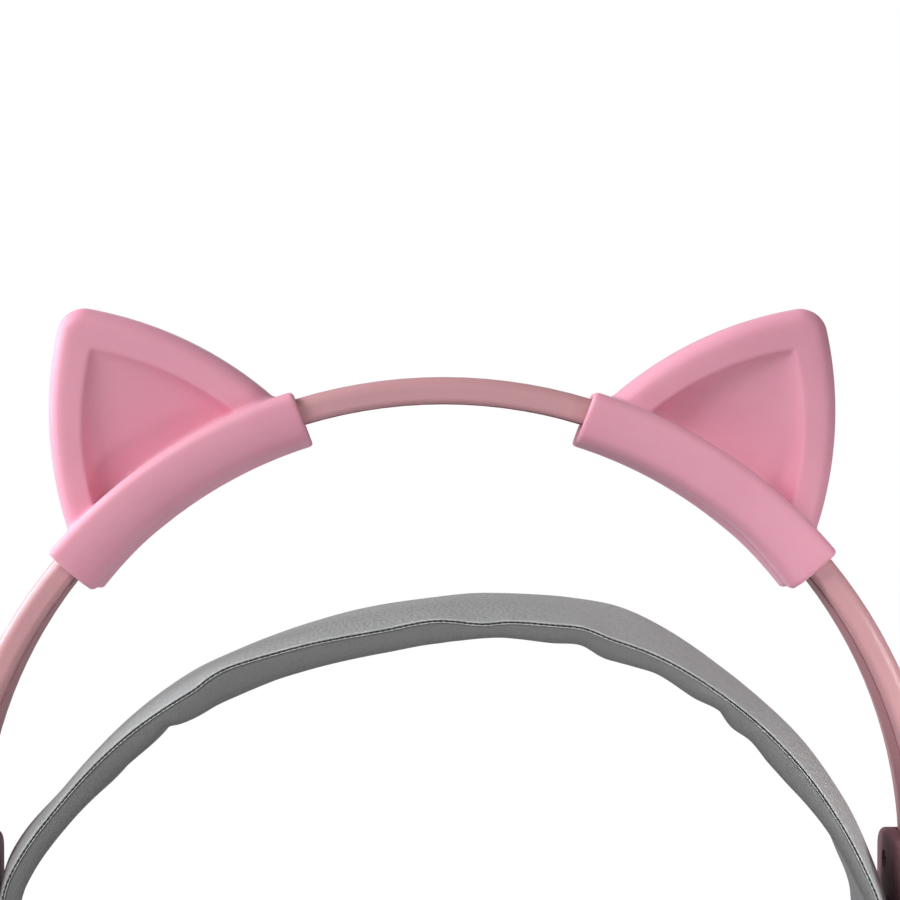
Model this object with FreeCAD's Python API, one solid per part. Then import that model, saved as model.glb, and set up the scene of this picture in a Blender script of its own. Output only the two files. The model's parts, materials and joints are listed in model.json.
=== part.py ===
"""A cat-eared gaming headset with a self-adjusting strap, as separate solids in millimetres.

Row frame: +X to the wearer's left, -Y forward, +Z up. The origin is the crown point, where
the top of the head meets the middle of the strap's underside. Each sub-part is one function,
and the two sides are one function mirrored in X.
"""

import FreeCAD
import Part
import math
import os

from FreeCAD import Vector

# ---------------------------------------------------------------- driving dimensions (mm)
ARCH_R = 94.5            # outer radius of the headband arch
ARCH_T = 4.9             # radial thickness of the arch
ARCH_HALF_Y = 9.0        # half depth of the arch over the head
ARCH_LEG_HALF_Y = 10.4   # half depth of the arch where it enters the side housings
FLARE_TOP = 46.0         # the arch starts to widen at this height over its centre
FLARE_END = 8.0          # and stops widening at this one
LEG = 5.0                # straight leg of the arch below its centre
STRAP_CROWN = 51.7       # outer face of the strap at the middle, over the arch's centre
LEATHER_T = 2.2          # upper layer of the strap
PADDING_T = 3.6          # lower, padded layer of the strap at the crown
CENTRE_Z = -(STRAP_CROWN - LEATHER_T - PADDING_T)   # height of the arch's centre

EAR_ANGLE = 33.4         # each ear leans this far from upright
SLEEVE_HALF_ANGLE = 16.4
SLEEVE_R_IN, SLEEVE_R_OUT = 86.0, 96.0
SLEEVE_HALF_Y = 11.4
EAR_HALF_Y = 6.4

TRAVEL = 13.0            # how far the strap rides up in the side housings
HOUSING_X0, HOUSING_X1 = 86.3, 99.6
HOUSING_SPLIT = 92.05    # parting plane between the two housing halves
HOUSING_TOP, HOUSING_BOTTOM = 6.0, -34.0
HOUSING_HALF_Y = 14.5
# (y, height over the arch's centre): the upper two screws also pass through the arch's leg.
HOUSING_SCREWS = [(-7.6, 0.4), (7.6, 0.4), (-11.95, -22.0), (11.95, -22.0)]
WALL = 2.0

CUP_DROP = 82.0          # the cup's axis lies this far below the arch's centre
CUP_Z = CENTRE_Z - CUP_DROP
PIVOT_X = 92.0           # swivel axis and tilt axis both cross at this distance from centre
FORK_R_IN, FORK_R_OUT = 42.5, 46.5
FORK_X0, FORK_X1 = 87.6, 96.4
STEM_R = 3.5
SHELL_R = 41.0
CUSHION_R, CUSHION_HOLE_R = 43.0, 24.0
CUSHION_X0, CUSHION_X1 = 43.0, 61.4
JACK_R = 1.8
GAP = 0.3                # clearance between pieces that move against each other
TIGHT = 0.05             # clearance between pieces that are fixed together
SCREW_R = 1.0            # shank of every screw
SCREW_HOLE_R = SCREW_R + TIGHT

X_AXIS, Y_AXIS, Z_AXIS = Vector(1, 0, 0), Vector(0, 1, 0), Vector(0, 0, 1)
ARCH_CENTRE = Vector(0, 0, CENTRE_Z)
os.makedirs("parts", exist_ok=True)


# ---------------------------------------------------------------- small tools
def box(x0, x1, y0, y1, z0, z1):
    """A block between two corners."""
    return Part.makeBox(x1 - x0, y1 - y0, z1 - z0, Vector(x0, y0, z0))


def cylinder(radius, start, axis, length):
    """A cylinder that starts at a point and runs along an axis."""
    return Part.makeCylinder(radius, length, Vector(*start), axis)


def fuse(first, *others):
    """One solid from several that meet."""
    return first.fuse(list(others)).removeSplitter()


def cut(base, *tools):
    """The base less every tool."""
    return base.cut(list(tools))


def arch_point(radius, degrees, y=0.0):
    """A point on a circle about the arch's centre; the angle runs from straight up towards +X."""
    a = math.radians(degrees)
    return Vector(radius * math.sin(a), y, CENTRE_Z + radius * math.cos(a))


def ring_sector(r_in, r_out, from_deg, to_deg, half_y):
    """A piece of a ring about the arch's centre, the same depth on both sides of y = 0."""
    mid = (from_deg + to_deg) / 2
    edges = [
        Part.Arc(*[arch_point(r_out, a, -half_y) for a in (from_deg, mid, to_deg)]).toShape(),
        Part.makeLine(arch_point(r_out, to_deg, -half_y), arch_point(r_in, to_deg, -half_y)),
        Part.Arc(*[arch_point(r_in, a, -half_y) for a in (to_deg, mid, from_deg)]).toShape(),
        Part.makeLine(arch_point(r_in, from_deg, -half_y), arch_point(r_out, from_deg, -half_y)),
    ]
    return Part.Face(Part.Wire(edges)).extrude(Vector(0, 2 * half_y, 0))


def arch_band(r_out, r_in, leg, half_y):
    """The arch's half ring with a straight leg at each end, drawn out in Y."""
    def at(x, z):
        return Vector(x, -half_y, CENTRE_Z + z)

    edges = [
        Part.makeLine(at(r_out, -leg), at(r_out, 0)),
        Part.Arc(at(r_out, 0), at(0, r_out), at(-r_out, 0)).toShape(),
        Part.makeLine(at(-r_out, 0), at(-r_out, -leg)),
        Part.makeLine(at(-r_out, -leg), at(-r_in, -leg)),
        Part.makeLine(at(-r_in, -leg), at(-r_in, 0)),
        Part.Arc(at(-r_in, 0), at(0, r_in), at(r_in, 0)).toShape(),
        Part.makeLine(at(r_in, 0), at(r_in, -leg)),
        Part.makeLine(at(r_in, -leg), at(r_out, -leg)),
    ]
    return Part.Face(Part.Wire(edges)).extrude(Vector(0, 2 * half_y, 0))


def turned(points, y=0.0, z=CUP_Z):
    """A closed outline of (x, radius) turned about the cup's axis, or about one parallel to it."""
    corners = [Vector(x, y, z + r) for x, r in points]
    wire = Part.makePolygon(corners + corners[:1])
    return Part.Face(wire).revolve(Vector(0, y, z), X_AXIS, 360)


def round_edges(solid, radius, wanted):
    """Fillets the edges that the test accepts; without any, the solid stays as it is."""
    edges = [e for e in solid.Edges if wanted(e)]
    return solid.makeFillet(radius, edges) if edges else solid


def on_circle(edge, radius, tolerance=0.01):
    """True for a full circle of this radius."""
    curve = edge.Curve
    return isinstance(curve, Part.Circle) and abs(curve.Radius - radius) < tolerance


def mirrored(solid):
    """The same piece for the wearer's right side."""
    return solid.mirror(Vector(0, 0, 0), X_AXIS)


def save(name, *solids):
    """Writes one node; several solids that repeat share it."""
    shape = solids[0] if len(solids) == 1 else Part.makeCompound(list(solids))
    for solid in shape.Solids:
        if not solid.isValid() or solid.Volume <= 0:
            print("check", name, solid.isValid(), round(solid.Volume, 3))
    shape.exportStep(f"parts/{name}.step")
    print(f"{name:24s} solids {len(shape.Solids)} volume {shape.Volume:10.1f} mm3")


# ---------------------------------------------------------------- headband arch
COVER_HALF_Y = 4.7
POCKET_HALF_Y = 4.8
COVER_T = 1.35
COVER_PROUD = 0.25       # the cover stands out this far on the head side
ARCH_IN = ARCH_R - ARCH_T
COVER_IN = ARCH_IN - COVER_PROUD
ROOF_T = 1.9             # wall between the channel and the arch's outer face
ARCH_ROUND_OUT, ARCH_ROUND_IN = 2.1, 1.0
SPRING_T, SPRING_HALF_Y = 0.8, 4.0
LEAD_T, LEAD_HALF_Y = 0.6, 1.6


def flare():
    """The side outline of the arch: narrow over the head, wider towards the housings."""
    top, bottom = CENTRE_Z + ARCH_R + 5, CENTRE_Z - LEG - 5
    side = Part.BSplineCurve()
    side.interpolate(
        Points=[
            Vector(-110, ARCH_HALF_Y, CENTRE_Z + FLARE_TOP),
            Vector(-110, ARCH_LEG_HALF_Y, CENTRE_Z + FLARE_END),
        ],
        InitialTangent=Vector(0, 0, -1),
        FinalTangent=Vector(0, 0, -1),
    )
    half = [
        Part.makeLine(Vector(-110, 0, top), Vector(-110, ARCH_HALF_Y, top)),
        Part.makeLine(
            Vector(-110, ARCH_HALF_Y, top), Vector(-110, ARCH_HALF_Y, CENTRE_Z + FLARE_TOP)
        ),
        side.toShape(),
        Part.makeLine(
            Vector(-110, ARCH_LEG_HALF_Y, CENTRE_Z + FLARE_END),
            Vector(-110, ARCH_LEG_HALF_Y, bottom),
        ),
        Part.makeLine(Vector(-110, ARCH_LEG_HALF_Y, bottom), Vector(-110, 0, bottom)),
        Part.makeLine(Vector(-110, 0, bottom), Vector(-110, 0, top)),
    ]
    solid = Part.Face(Part.Wire(half)).extrude(Vector(220, 0, 0))
    return fuse(solid, solid.mirror(Vector(0, 0, 0), Y_AXIS))


def arch_shell():
    """Moulded outer band: a rounded channel that opens towards the head."""
    band = arch_band(ARCH_R, ARCH_IN, LEG, 20).common(flare())
    low = CENTRE_Z - LEG + 0.1

    def outer(edge):
        return edge.BoundBox.ZMin > low - 0.3 and all(
            abs(math.hypot(v.X, max(0.0, v.Z - CENTRE_Z)) - ARCH_R) < 0.05
            for v in edge.Vertexes
        ) and edge.BoundBox.YMax - edge.BoundBox.YMin < 6

    def inner(edge):
        return all(
            abs(math.hypot(v.X, max(0.0, v.Z - CENTRE_Z)) - ARCH_IN) < 0.05
            for v in edge.Vertexes
        ) and edge.BoundBox.YMax - edge.BoundBox.YMin < 6

    band = round_edges(band, ARCH_ROUND_OUT, outer)
    band = round_edges(band, ARCH_ROUND_IN, inner)
    pocket = arch_band(ARCH_R - ROOF_T, ARCH_IN - 1, LEG + 5, POCKET_HALF_Y)
    through = [
        cylinder(SCREW_HOLE_R, (-120, y, CENTRE_Z + z), X_AXIS, 240)
        for y, z in HOUSING_SCREWS[:2]
    ]
    return cut(band, pocket, *through)


def arch_cover():
    """Trim strip that closes the channel on the head side."""
    return arch_band(COVER_IN + COVER_T, COVER_IN, LEG, COVER_HALF_Y)


def arch_spring():
    """Flat spring-steel strip that gives the arch its clamping force."""
    outer = ARCH_R - ROOF_T - 0.1
    return arch_band(outer, outer - SPRING_T, LEG - 1, SPRING_HALF_Y)


def crossover_wire():
    """Flat lead inside the arch that joins the two cups' drivers."""
    inner = COVER_IN + COVER_T + 0.2
    return arch_band(inner + LEAD_T, inner, LEG - 2, LEAD_HALF_Y)


# ---------------------------------------------------------------- cat ears
EAR_BASE = 24.0          # half width at the foot, hidden in the sleeve
EAR_BOW = (17.0, 108.4)  # a point half way up the bowed side
EAR_TIP = 129.4          # where the two sides would meet without the rounding
EAR_FOOT = 89.0
TIP_ROUND, PLATE_ROUND = 4.0, 3.2
SLEEVE_ROUND, SLEEVE_END_ROUND = 2.8, 0.9
SLIT_HALF_Y = 1.2
DISH_DEPTH = 4.0


def ear_plate():
    """The upright ear: two bowed sides that meet in a rounded tip, dished on the front."""
    def at(u, v, y=-EAR_HALF_Y):
        return Vector(u, y, CENTRE_Z + v)

    outline = Part.Wire([
        Part.makeLine(at(-EAR_BASE, EAR_FOOT), at(EAR_BASE, EAR_FOOT)),
        Part.Arc(at(EAR_BASE, EAR_FOOT), at(*EAR_BOW), at(0, EAR_TIP)).toShape(),
        Part.Arc(at(0, EAR_TIP), at(-EAR_BOW[0], EAR_BOW[1]), at(-EAR_BASE, EAR_FOOT)).toShape(),
    ])
    plate = Part.Face(outline).extrude(Vector(0, 2 * EAR_HALF_Y, 0))
    plate = round_edges(
        plate, TIP_ROUND,
        lambda e: e.BoundBox.XLength < 0.1 and e.BoundBox.ZMin > CENTRE_Z + EAR_TIP - 1.4,
    )
    plate = round_edges(
        plate, PLATE_ROUND,
        lambda e: e.BoundBox.YLength < 0.01 and e.BoundBox.ZMax > CENTRE_Z + EAR_FOOT + 1,
    )
    return cut(plate, ear_dish())


def ear_dish():
    """The hollow of the ear: a bowed triangle with sloping walls."""
    def ring(half_base, base, top, bow, y):
        def at(u, v):
            return Vector(u, y, CENTRE_Z + v)

        return Part.Wire([
            Part.makeLine(at(-half_base, base), at(half_base, base)),
            Part.Arc(
                at(half_base, base),
                at(half_base / 2 + bow, (base + top) / 2 + bow * 0.6),
                at(0, top),
            ).toShape(),
            Part.Arc(
                at(0, top),
                at(-half_base / 2 - bow, (base + top) / 2 + bow * 0.6),
                at(-half_base, base),
            ).toShape(),
        ])

    mouth = ring(17.4, 92.5, 119.6, 2.4, -EAR_HALF_Y - 0.2)
    floor = ring(12.0, 94.5, 112.0, 1.8, -EAR_HALF_Y + DISH_DEPTH)
    return Part.makeLoft([mouth, floor], True, True)


def cat_ear(sign):
    """Soft one-piece ear: a split sleeve that grips the arch, and the ear on top of it."""
    sleeve = ring_sector(
        SLEEVE_R_IN, SLEEVE_R_OUT, -SLEEVE_HALF_ANGLE, SLEEVE_HALF_ANGLE, SLEEVE_HALF_Y
    )
    sleeve = round_edges(sleeve, SLEEVE_ROUND, lambda e: e.Length > 40)
    sleeve = round_edges(
        sleeve, SLEEVE_END_ROUND, lambda e: 4 < e.Length < 14 and e.BoundBox.XLength < 12
    )
    plate = cut(ear_plate(), ring_sector(60, SLEEVE_R_OUT - 0.6, -25, 25, 20))
    ear = fuse(sleeve, plate)
    bore = ring_sector(
        COVER_IN - GAP, ARCH_R + GAP, -SLEEVE_HALF_ANGLE - 2, SLEEVE_HALF_ANGLE + 2,
        ARCH_HALF_Y + GAP,
    )
    slit = ring_sector(
        SLEEVE_R_IN - 1, ARCH_IN, -SLEEVE_HALF_ANGLE - 2, SLEEVE_HALF_ANGLE + 2, SLIT_HALF_Y
    )
    ear = cut(ear, bore, slit)
    ear.rotate(ARCH_CENTRE, Y_AXIS, sign * EAR_ANGLE)
    return ear


# ---------------------------------------------------------------- suspension strap
STRAP_HALF_Y = 19.0      # half width over the crown
STRAP_END_HALF_Y = 11.0  # half width at the tongues
TAIL_X = 84.0            # outer face of the strap's hanging ends
TAIL_TOP = -7.0
TAIL_BOTTOM = -25.0
TAIL_T = 3.0             # both layers together at the ends
SIDE_PADDING_T = 2.7     # lower layer outside the thick pad

# Outer face of the relaxed strap, (x, height over the arch's centre): it leans to one side.
STRAP_LINE = [
    (-TAIL_X, TAIL_BOTTOM),
    (-TAIL_X, TAIL_BOTTOM + 6),
    (-TAIL_X, TAIL_TOP - 5),
    (-83.9, TAIL_TOP + 2),
    (-82.0, 2.5),
    (-75.6, 12.4),
    (-60.5, 29.2),
    (-46.4, 39.2),
    (-25.7, 47.1),
    (0.0, STRAP_CROWN),
    (20.0, 51.8),
    (34.6, 49.4),
    (46.3, 44.0),
    (58.4, 35.0),
    (68.9, 23.8),
    (76.4, 12.4),
    (81.4, 2.0),
    (83.8, TAIL_TOP + 2),
    (TAIL_X, TAIL_TOP - 5),
    (TAIL_X, TAIL_BOTTOM + 6),
    (TAIL_X, TAIL_BOTTOM),
]


def strap_curve():
    """Outer line of the strap from the foot of one tail to the other."""
    curve = Part.BSplineCurve()
    curve.interpolate([Vector(x, 0, CENTRE_Z + z) for x, z in STRAP_LINE])
    return curve


def strap_offset(depth_at, steps=60):
    """A smooth line below the outer one, each point by the depth that belongs to its place."""
    curve = strap_curve()
    first, last = curve.FirstParameter, curve.LastParameter
    points = []
    for i in range(steps + 1):
        at = first + (last - first) * i / steps
        place, along = curve.value(at), curve.tangent(at)[0]
        inward = Vector(along.z, 0, -along.x)
        points.append(place + inward * depth_at(place))
    line = Part.BSplineCurve()
    line.interpolate(points)
    return line


def eased(value, start, end):
    """0 before the start, 1 past the end, and a smooth rise between them."""
    share = min(1.0, max(0.0, (value - start) / (end - start)))
    return share * share * (3 - 2 * share)


def layer_depth(crown_depth, side_depth, end_depth):
    """Depth below the strap's face: over the head, down the sides, and at the tails."""
    def depth(place):
        over = crown_depth + (side_depth - crown_depth) * eased(abs(place.x), 50, 60)
        drop = eased(CENTRE_Z + 4 - place.z, 0, 10)
        return over + (end_depth - over) * drop

    return depth


def strap_layer(upper, lower):
    """A solid between two depth functions, trimmed to the strap's width."""
    top, bottom = strap_offset(upper), strap_offset(lower)
    ends = [
        (curve.value(curve.FirstParameter), curve.value(curve.LastParameter))
        for curve in (top, bottom)
    ]
    wire = Part.Wire([
        top.toShape(),
        Part.makeLine(ends[0][1], ends[1][1]),
        bottom.toShape(),
        Part.makeLine(ends[1][0], ends[0][0]),
    ])
    slab = Part.Face(wire).extrude(Vector(0, 2 * STRAP_HALF_Y, 0))
    slab.translate(Vector(0, -STRAP_HALF_Y, 0))
    return slab.common(strap_plan())


def strap_plan():
    """The strap seen from above: wide over the head, narrow at both ends."""
    full, end = STRAP_HALF_Y, STRAP_END_HALF_Y
    half = [(-TAIL_X, end), (-76, end), (-46, full), (46, full), (76, end), (TAIL_X, end)]
    corners = [Vector(x, y, CENTRE_Z - 40) for x, y in half]
    corners += [Vector(x, -y, CENTRE_Z - 40) for x, y in reversed(half)]
    return Part.Face(Part.makePolygon(corners + corners[:1])).extrude(Vector(0, 0, 120))


def strap_leather():
    """Upper leather layer."""
    under = LEATHER_T - TIGHT
    return strap_layer(layer_depth(0, 0, 0), layer_depth(under, under, TAIL_T / 2 - TIGHT))


def strap_padding():
    """Lower layer, with the foam that rests on the head."""
    return strap_layer(
        layer_depth(LEATHER_T, LEATHER_T, TAIL_T / 2),
        layer_depth(LEATHER_T + PADDING_T, LEATHER_T + SIDE_PADDING_T, TAIL_T),
    )


TONGUE_X0, TONGUE_X1 = TAIL_X + TIGHT, 85.9
SLIDER_X0, SLIDER_X1 = HOUSING_X0 + WALL + GAP, 92.2
SLIDER_Z0, SLIDER_Z1 = -24.8, -18.4
SLIDER_HALF_Y = 10.0
NECK_Z0, NECK_Z1 = -23.8, -19.4
NECK_HALF_Y = 4.5
PLATE_HALF_Y, PLATE_Z0, PLATE_Z1 = 9.0, -28.0, -8.5
CORD_X, CORD_Y, CORD_R = 90.4, 8.0, 0.9
RIVET_Y, RIVET_Z = 6.0, -13.0
RIVET_R, RIVET_HEAD_R = 1.0, 2.1


def strap_tongue():
    """Plastic end of the strap: a plate outside, a neck through the slot, a slider inside."""
    plate = box(
        TONGUE_X0, TONGUE_X1, -PLATE_HALF_Y, PLATE_HALF_Y,
        CENTRE_Z + PLATE_Z0, CENTRE_Z + PLATE_Z1,
    )
    plate = round_edges(
        plate, 3.0, lambda e: e.BoundBox.XLength > 1 and e.BoundBox.YLength < 0.01
    )
    neck = box(
        TONGUE_X1 - 0.5, SLIDER_X0 + 0.5, -NECK_HALF_Y, NECK_HALF_Y,
        CENTRE_Z + NECK_Z0, CENTRE_Z + NECK_Z1,
    )
    slider = box(
        SLIDER_X0, SLIDER_X1, -SLIDER_HALF_Y, SLIDER_HALF_Y,
        CENTRE_Z + SLIDER_Z0, CENTRE_Z + SLIDER_Z1,
    )
    slider = round_edges(
        slider, 1.2, lambda e: e.BoundBox.XLength > 1 and e.BoundBox.YLength < 0.01
    )
    body = fuse(plate, neck, slider)
    eyes = [
        cylinder(CORD_R + 0.1, (CORD_X, s * CORD_Y, CENTRE_Z + SLIDER_Z0 - 1), Z_AXIS, 5)
        for s in (-1, 1)
    ]
    holes = [
        cylinder(RIVET_R + TIGHT, (TONGUE_X0 - 1, s * RIVET_Y, CENTRE_Z + RIVET_Z), X_AXIS, 4)
        for s in (-1, 1)
    ]
    return cut(body, *eyes, *holes)


def strap_rivets(x_sign):
    """Two rivets that clinch each strap end to its tongue."""
    rivets = []
    for s in (-1, 1):
        shank = cylinder(
            RIVET_R, (TAIL_X - TAIL_T - 0.1, s * RIVET_Y, CENTRE_Z + RIVET_Z), X_AXIS, 4.9
        )
        head = cylinder(
            RIVET_HEAD_R, (TAIL_X - TAIL_T - 0.65, s * RIVET_Y, CENTRE_Z + RIVET_Z), X_AXIS, 0.6
        )
        rivet = fuse(shank, head)
        rivets.append(rivet if x_sign > 0 else mirrored(rivet))
    return rivets


def rivet_holes(layer):
    """Punches the strap for the rivets at both ends."""
    tools = []
    for s in (-1, 1):
        hole = cylinder(
            RIVET_R + TIGHT, (TAIL_X - 5, s * RIVET_Y, CENTRE_Z + RIVET_Z), X_AXIS, 7
        )
        tools += [hole, mirrored(hole)]
    return cut(layer, *tools)


def elastic_cords():
    """Two rubber cords that draw the strap back down; each is tied off below."""
    cords = []
    for s in (-1, 1):
        bottom = HOUSING_BOTTOM + WALL + 0.6
        cord = cylinder(
            CORD_R, (CORD_X, s * CORD_Y, CENTRE_Z + bottom), Z_AXIS, SLIDER_Z0 - 0.1 - bottom
        )
        cords.append(cord)
    return cords


# ---------------------------------------------------------------- side housings
HEAD_R, HEAD_HOLE_R = 1.75, 1.8
CLIP_Z0, CLIP_Z1 = -28.2, -27.2
CLIP_R = 5.8
PIN_TOP = -25.7
STOP_GAP = 0.35          # slack at each end of the slider's way
TOP_ROUND, FOOT_ROUND, FACE_ROUND, BACK_ROUND = 4.0, 8.0, 3.4, 1.1


def housing_blank():
    """Outside shape of a side housing: a rounded block that narrows at the foot."""
    half, top, foot = HOUSING_HALF_Y, CENTRE_Z + HOUSING_TOP, CENTRE_Z + HOUSING_BOTTOM
    block = box(HOUSING_X0, HOUSING_X1, -half, half, foot, top)

    def along_x(edge, upper):
        level = top if upper else foot
        return (
            edge.BoundBox.XLength > 5
            and edge.BoundBox.YLength < 0.01
            and abs(edge.BoundBox.ZMin - level) < 0.01
        )

    block = round_edges(block, TOP_ROUND, lambda e: along_x(e, True))
    block = round_edges(block, FOOT_ROUND, lambda e: along_x(e, False))
    block = round_edges(block, FACE_ROUND, lambda e: abs(e.BoundBox.XMin - HOUSING_X1) < 0.01)
    return round_edges(block, BACK_ROUND, lambda e: abs(e.BoundBox.XMax - HOUSING_X0) < 0.01)


def swivel_bore(radius, top):
    """Hole for the yoke's swivel pin, up from the housing's foot."""
    foot = CENTRE_Z + HOUSING_BOTTOM
    return cylinder(radius, (PIVOT_X, 0, foot - 1), Z_AXIS, top - HOUSING_BOTTOM + 1)


def housing_hollows():
    """Everything taken out of the housing: leg slot, slider way, cord ways, pin and clip room."""
    floor = SLIDER_Z0 - STOP_GAP
    leg_slot = box(
        ARCH_IN - 0.7, ARCH_R + TIGHT, -ARCH_LEG_HALF_Y - TIGHT, ARCH_LEG_HALF_Y + TIGHT,
        CENTRE_Z - LEG - TIGHT, CENTRE_Z + HOUSING_TOP + 5,
    )
    slider_way = box(
        HOUSING_X0 + WALL, SLIDER_X1 + GAP, -SLIDER_HALF_Y - GAP, SLIDER_HALF_Y + GAP,
        CENTRE_Z + floor, CENTRE_Z + SLIDER_Z1 + TRAVEL + STOP_GAP,
    )
    slot = box(
        HOUSING_X0 - 1, HOUSING_X0 + WALL + 1, -NECK_HALF_Y - 0.4, NECK_HALF_Y + 0.4,
        CENTRE_Z + NECK_Z0 - 0.4, CENTRE_Z + NECK_Z1 + TRAVEL + 0.4,
    )
    cord_ways = [
        cylinder(
            CORD_R + 0.4, (CORD_X, s * CORD_Y, CENTRE_Z + HOUSING_BOTTOM + WALL), Z_AXIS,
            floor - HOUSING_BOTTOM - WALL + 0.5,
        )
        for s in (-1, 1)
    ]
    pin = swivel_bore(STEM_R + 0.06, floor + 1)
    clip_room = cylinder(
        CLIP_R + 0.4, (PIVOT_X, 0, CENTRE_Z + CLIP_Z0 - GAP), Z_AXIS,
        CLIP_Z1 - CLIP_Z0 + 2 * GAP,
    )
    return [leg_slot, slider_way, slot, pin, clip_room, *cord_ways]


def housing_screw_tools():
    """Room for the four screws, their heads on the inner face."""
    tools = []
    for y, z in HOUSING_SCREWS:
        start = (HOUSING_X0 - 0.5, y, CENTRE_Z + z)
        tools.append(cylinder(SCREW_HOLE_R, start, X_AXIS, 11.5))
        tools.append(cylinder(HEAD_HOLE_R, start, X_AXIS, 1.9))
    return tools


def housing_half(outer):
    """One half of a housing, cut at the parting plane."""
    blank = cut(housing_blank(), *housing_hollows(), *housing_screw_tools())
    low, high = (HOUSING_SPLIT + TIGHT / 2, 120) if outer else (60, HOUSING_SPLIT - TIGHT / 2)
    return blank.common(box(low, high, -30, 30, CENTRE_Z - 60, CENTRE_Z + 40))


def housing_screws():
    """Four cross-head screws that clamp the two halves of a housing."""
    screws = []
    for y, z in HOUSING_SCREWS:
        z = CENTRE_Z + z
        shank = cylinder(SCREW_R, (HOUSING_X0 + 1.3, y, z), X_AXIS, 9.4)
        head = cylinder(HEAD_R, (HOUSING_X0 + 0.35, y, z), X_AXIS, 1.0)
        slot_a = box(HOUSING_X0, HOUSING_X0 + 0.85, y - 1.1, y + 1.1, z - 0.2, z + 0.2)
        slot_b = box(HOUSING_X0, HOUSING_X0 + 0.85, y - 0.2, y + 0.2, z - 1.1, z + 1.1)
        screws.append(cut(fuse(shank, head), slot_a, slot_b))
    return screws


# ---------------------------------------------------------------- yokes
BOSS_R = 6.0
PIN_R = 1.6              # pins on which a cup tilts
PIN_CAP_R = 2.8
COLLAR_R = 6.4
COLLAR_GAP = 0.4         # between the yoke's collar and the housing's foot
FORK_ROUND = 1.5


def yoke():
    """Fork that carries a cup: a half ring with an eye at each end and a swivel collar."""
    outline = [(FORK_X0, FORK_R_IN), (FORK_X1, FORK_R_IN), (FORK_X1, FORK_R_OUT),
               (FORK_X0, FORK_R_OUT)]
    ring = turned(outline)
    upper = box(FORK_X0 - 5, FORK_X1 + 5, -60, 60, CUP_Z, CUP_Z + 60)
    fork = ring.common(upper)
    fork = round_edges(fork, FORK_ROUND, lambda e: e.Length > 60)
    eyes = []
    for s in (-1, 1):
        start = FORK_R_IN if s > 0 else -FORK_R_OUT
        eyes.append(
            cylinder(BOSS_R, (PIVOT_X, start, CUP_Z), Y_AXIS, FORK_R_OUT - FORK_R_IN)
        )
    collar_foot = CUP_Z + FORK_R_OUT - 1.5
    collar_top = CENTRE_Z + HOUSING_BOTTOM - COLLAR_GAP
    collar = cylinder(COLLAR_R, (PIVOT_X, 0, collar_foot), Z_AXIS, collar_top - collar_foot)
    body = fuse(fork, collar, *eyes)
    bores = [
        cylinder(PIN_R + 0.02, (PIVOT_X, -60, CUP_Z), Y_AXIS, 120),
        cylinder(STEM_R - 1.0, (PIVOT_X, 0, CUP_Z + 30), Z_AXIS, 30),
    ]
    return cut(body, *bores)


def swivel_pin():
    """Steel pin riveted into the yoke's collar; it turns in the housing's foot."""
    foot = CUP_Z + FORK_R_IN + 0.02
    shoulder = CENTRE_Z + HOUSING_BOTTOM - COLLAR_GAP + 0.02
    thin = cylinder(STEM_R - 1.02, (PIVOT_X, 0, foot), Z_AXIS, shoulder - foot + 0.2)
    thick = cylinder(
        STEM_R, (PIVOT_X, 0, shoulder), Z_AXIS, CENTRE_Z + PIN_TOP - shoulder
    )
    groove = cut(
        cylinder(STEM_R + 1, (PIVOT_X, 0, CENTRE_Z + CLIP_Z0), Z_AXIS, CLIP_Z1 - CLIP_Z0),
        cylinder(STEM_R - 0.8, (PIVOT_X, 0, CENTRE_Z + CLIP_Z0 - 1), Z_AXIS, 4),
    )
    return cut(fuse(thin, thick), groove)


def swivel_clip():
    """Retaining clip in the pin's groove."""
    ring = cut(
        cylinder(CLIP_R, (PIVOT_X, 0, CENTRE_Z + CLIP_Z0 + 0.1), Z_AXIS, 0.8),
        cylinder(STEM_R - 0.78, (PIVOT_X, 0, CENTRE_Z + CLIP_Z0 - 1), Z_AXIS, 4),
    )
    mouth = box(
        PIVOT_X - 2.0, PIVOT_X + 2.0, 0, 7, CENTRE_Z + CLIP_Z0 - 1, CENTRE_Z + CLIP_Z1 + 1
    )
    return cut(ring, mouth)


# ---------------------------------------------------------------- ear cups
RIM_X = 63.6             # face of the shell's rim, where the baffle closes it
DISC_X = 99.6            # outer end of the shell
DISC_R = 25.0
GLOW_R = 27.8
SHELL_OUTLINE = [(RIM_X, 40.4), (67, SHELL_R), (77, SHELL_R), (85, 39.0), (92, 35.4),
                 (97, 31.2), (DISC_X, 28.4)]
PIN_Y0, PIN_Y1 = 34.0, FORK_R_OUT
PIVOT_BOSS_R = 4.6
POST_R = 2.8
SHELL_T, SHELL_END_T = 2.1, 2.2
CUP_SCREW_R = 34.4       # distance of the baffle's screws from the cup's axis
CUP_HEAD_R = 1.9
MIC_Y, MIC_DZ = -39.5, -18.5
MIC_HUB_R, MIC_PIN_R = 7.0, 2.0
MIC_ROOT_X = 66.5        # the boss under the hub grows out of the shell from here
MIC_FACE_X = 78.0        # the hub turns on this face, in a pocket in the shell's side
WHEEL_ANGLE = 25.0       # the volume wheel sits this far below the rear of the cup
BUTTON_ANGLE = -62.0     # the buttons sit further round, towards the bottom
WHEEL_R, WHEEL_X0, WHEEL_X1 = 8.0, 71.0, 75.0
WHEEL_MID = 35.6
SHAFT_R = 1.5
BUTTON_X = 73.0
BUTTON_R, BUTTON_COLLAR_R, BUTTON_TUBE_R = 3.1, 4.2, 5.7
JACK_X = 73.0
JACK_BODY_R, JACK_FLANGE_R = 4.2, 5.4


def rear_point(distance, degrees):
    """(y, z) of a point this far from the cup's axis, turned up from straight back."""
    a = math.radians(degrees)
    return distance * math.cos(a), CUP_Z + distance * math.sin(a)


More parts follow.
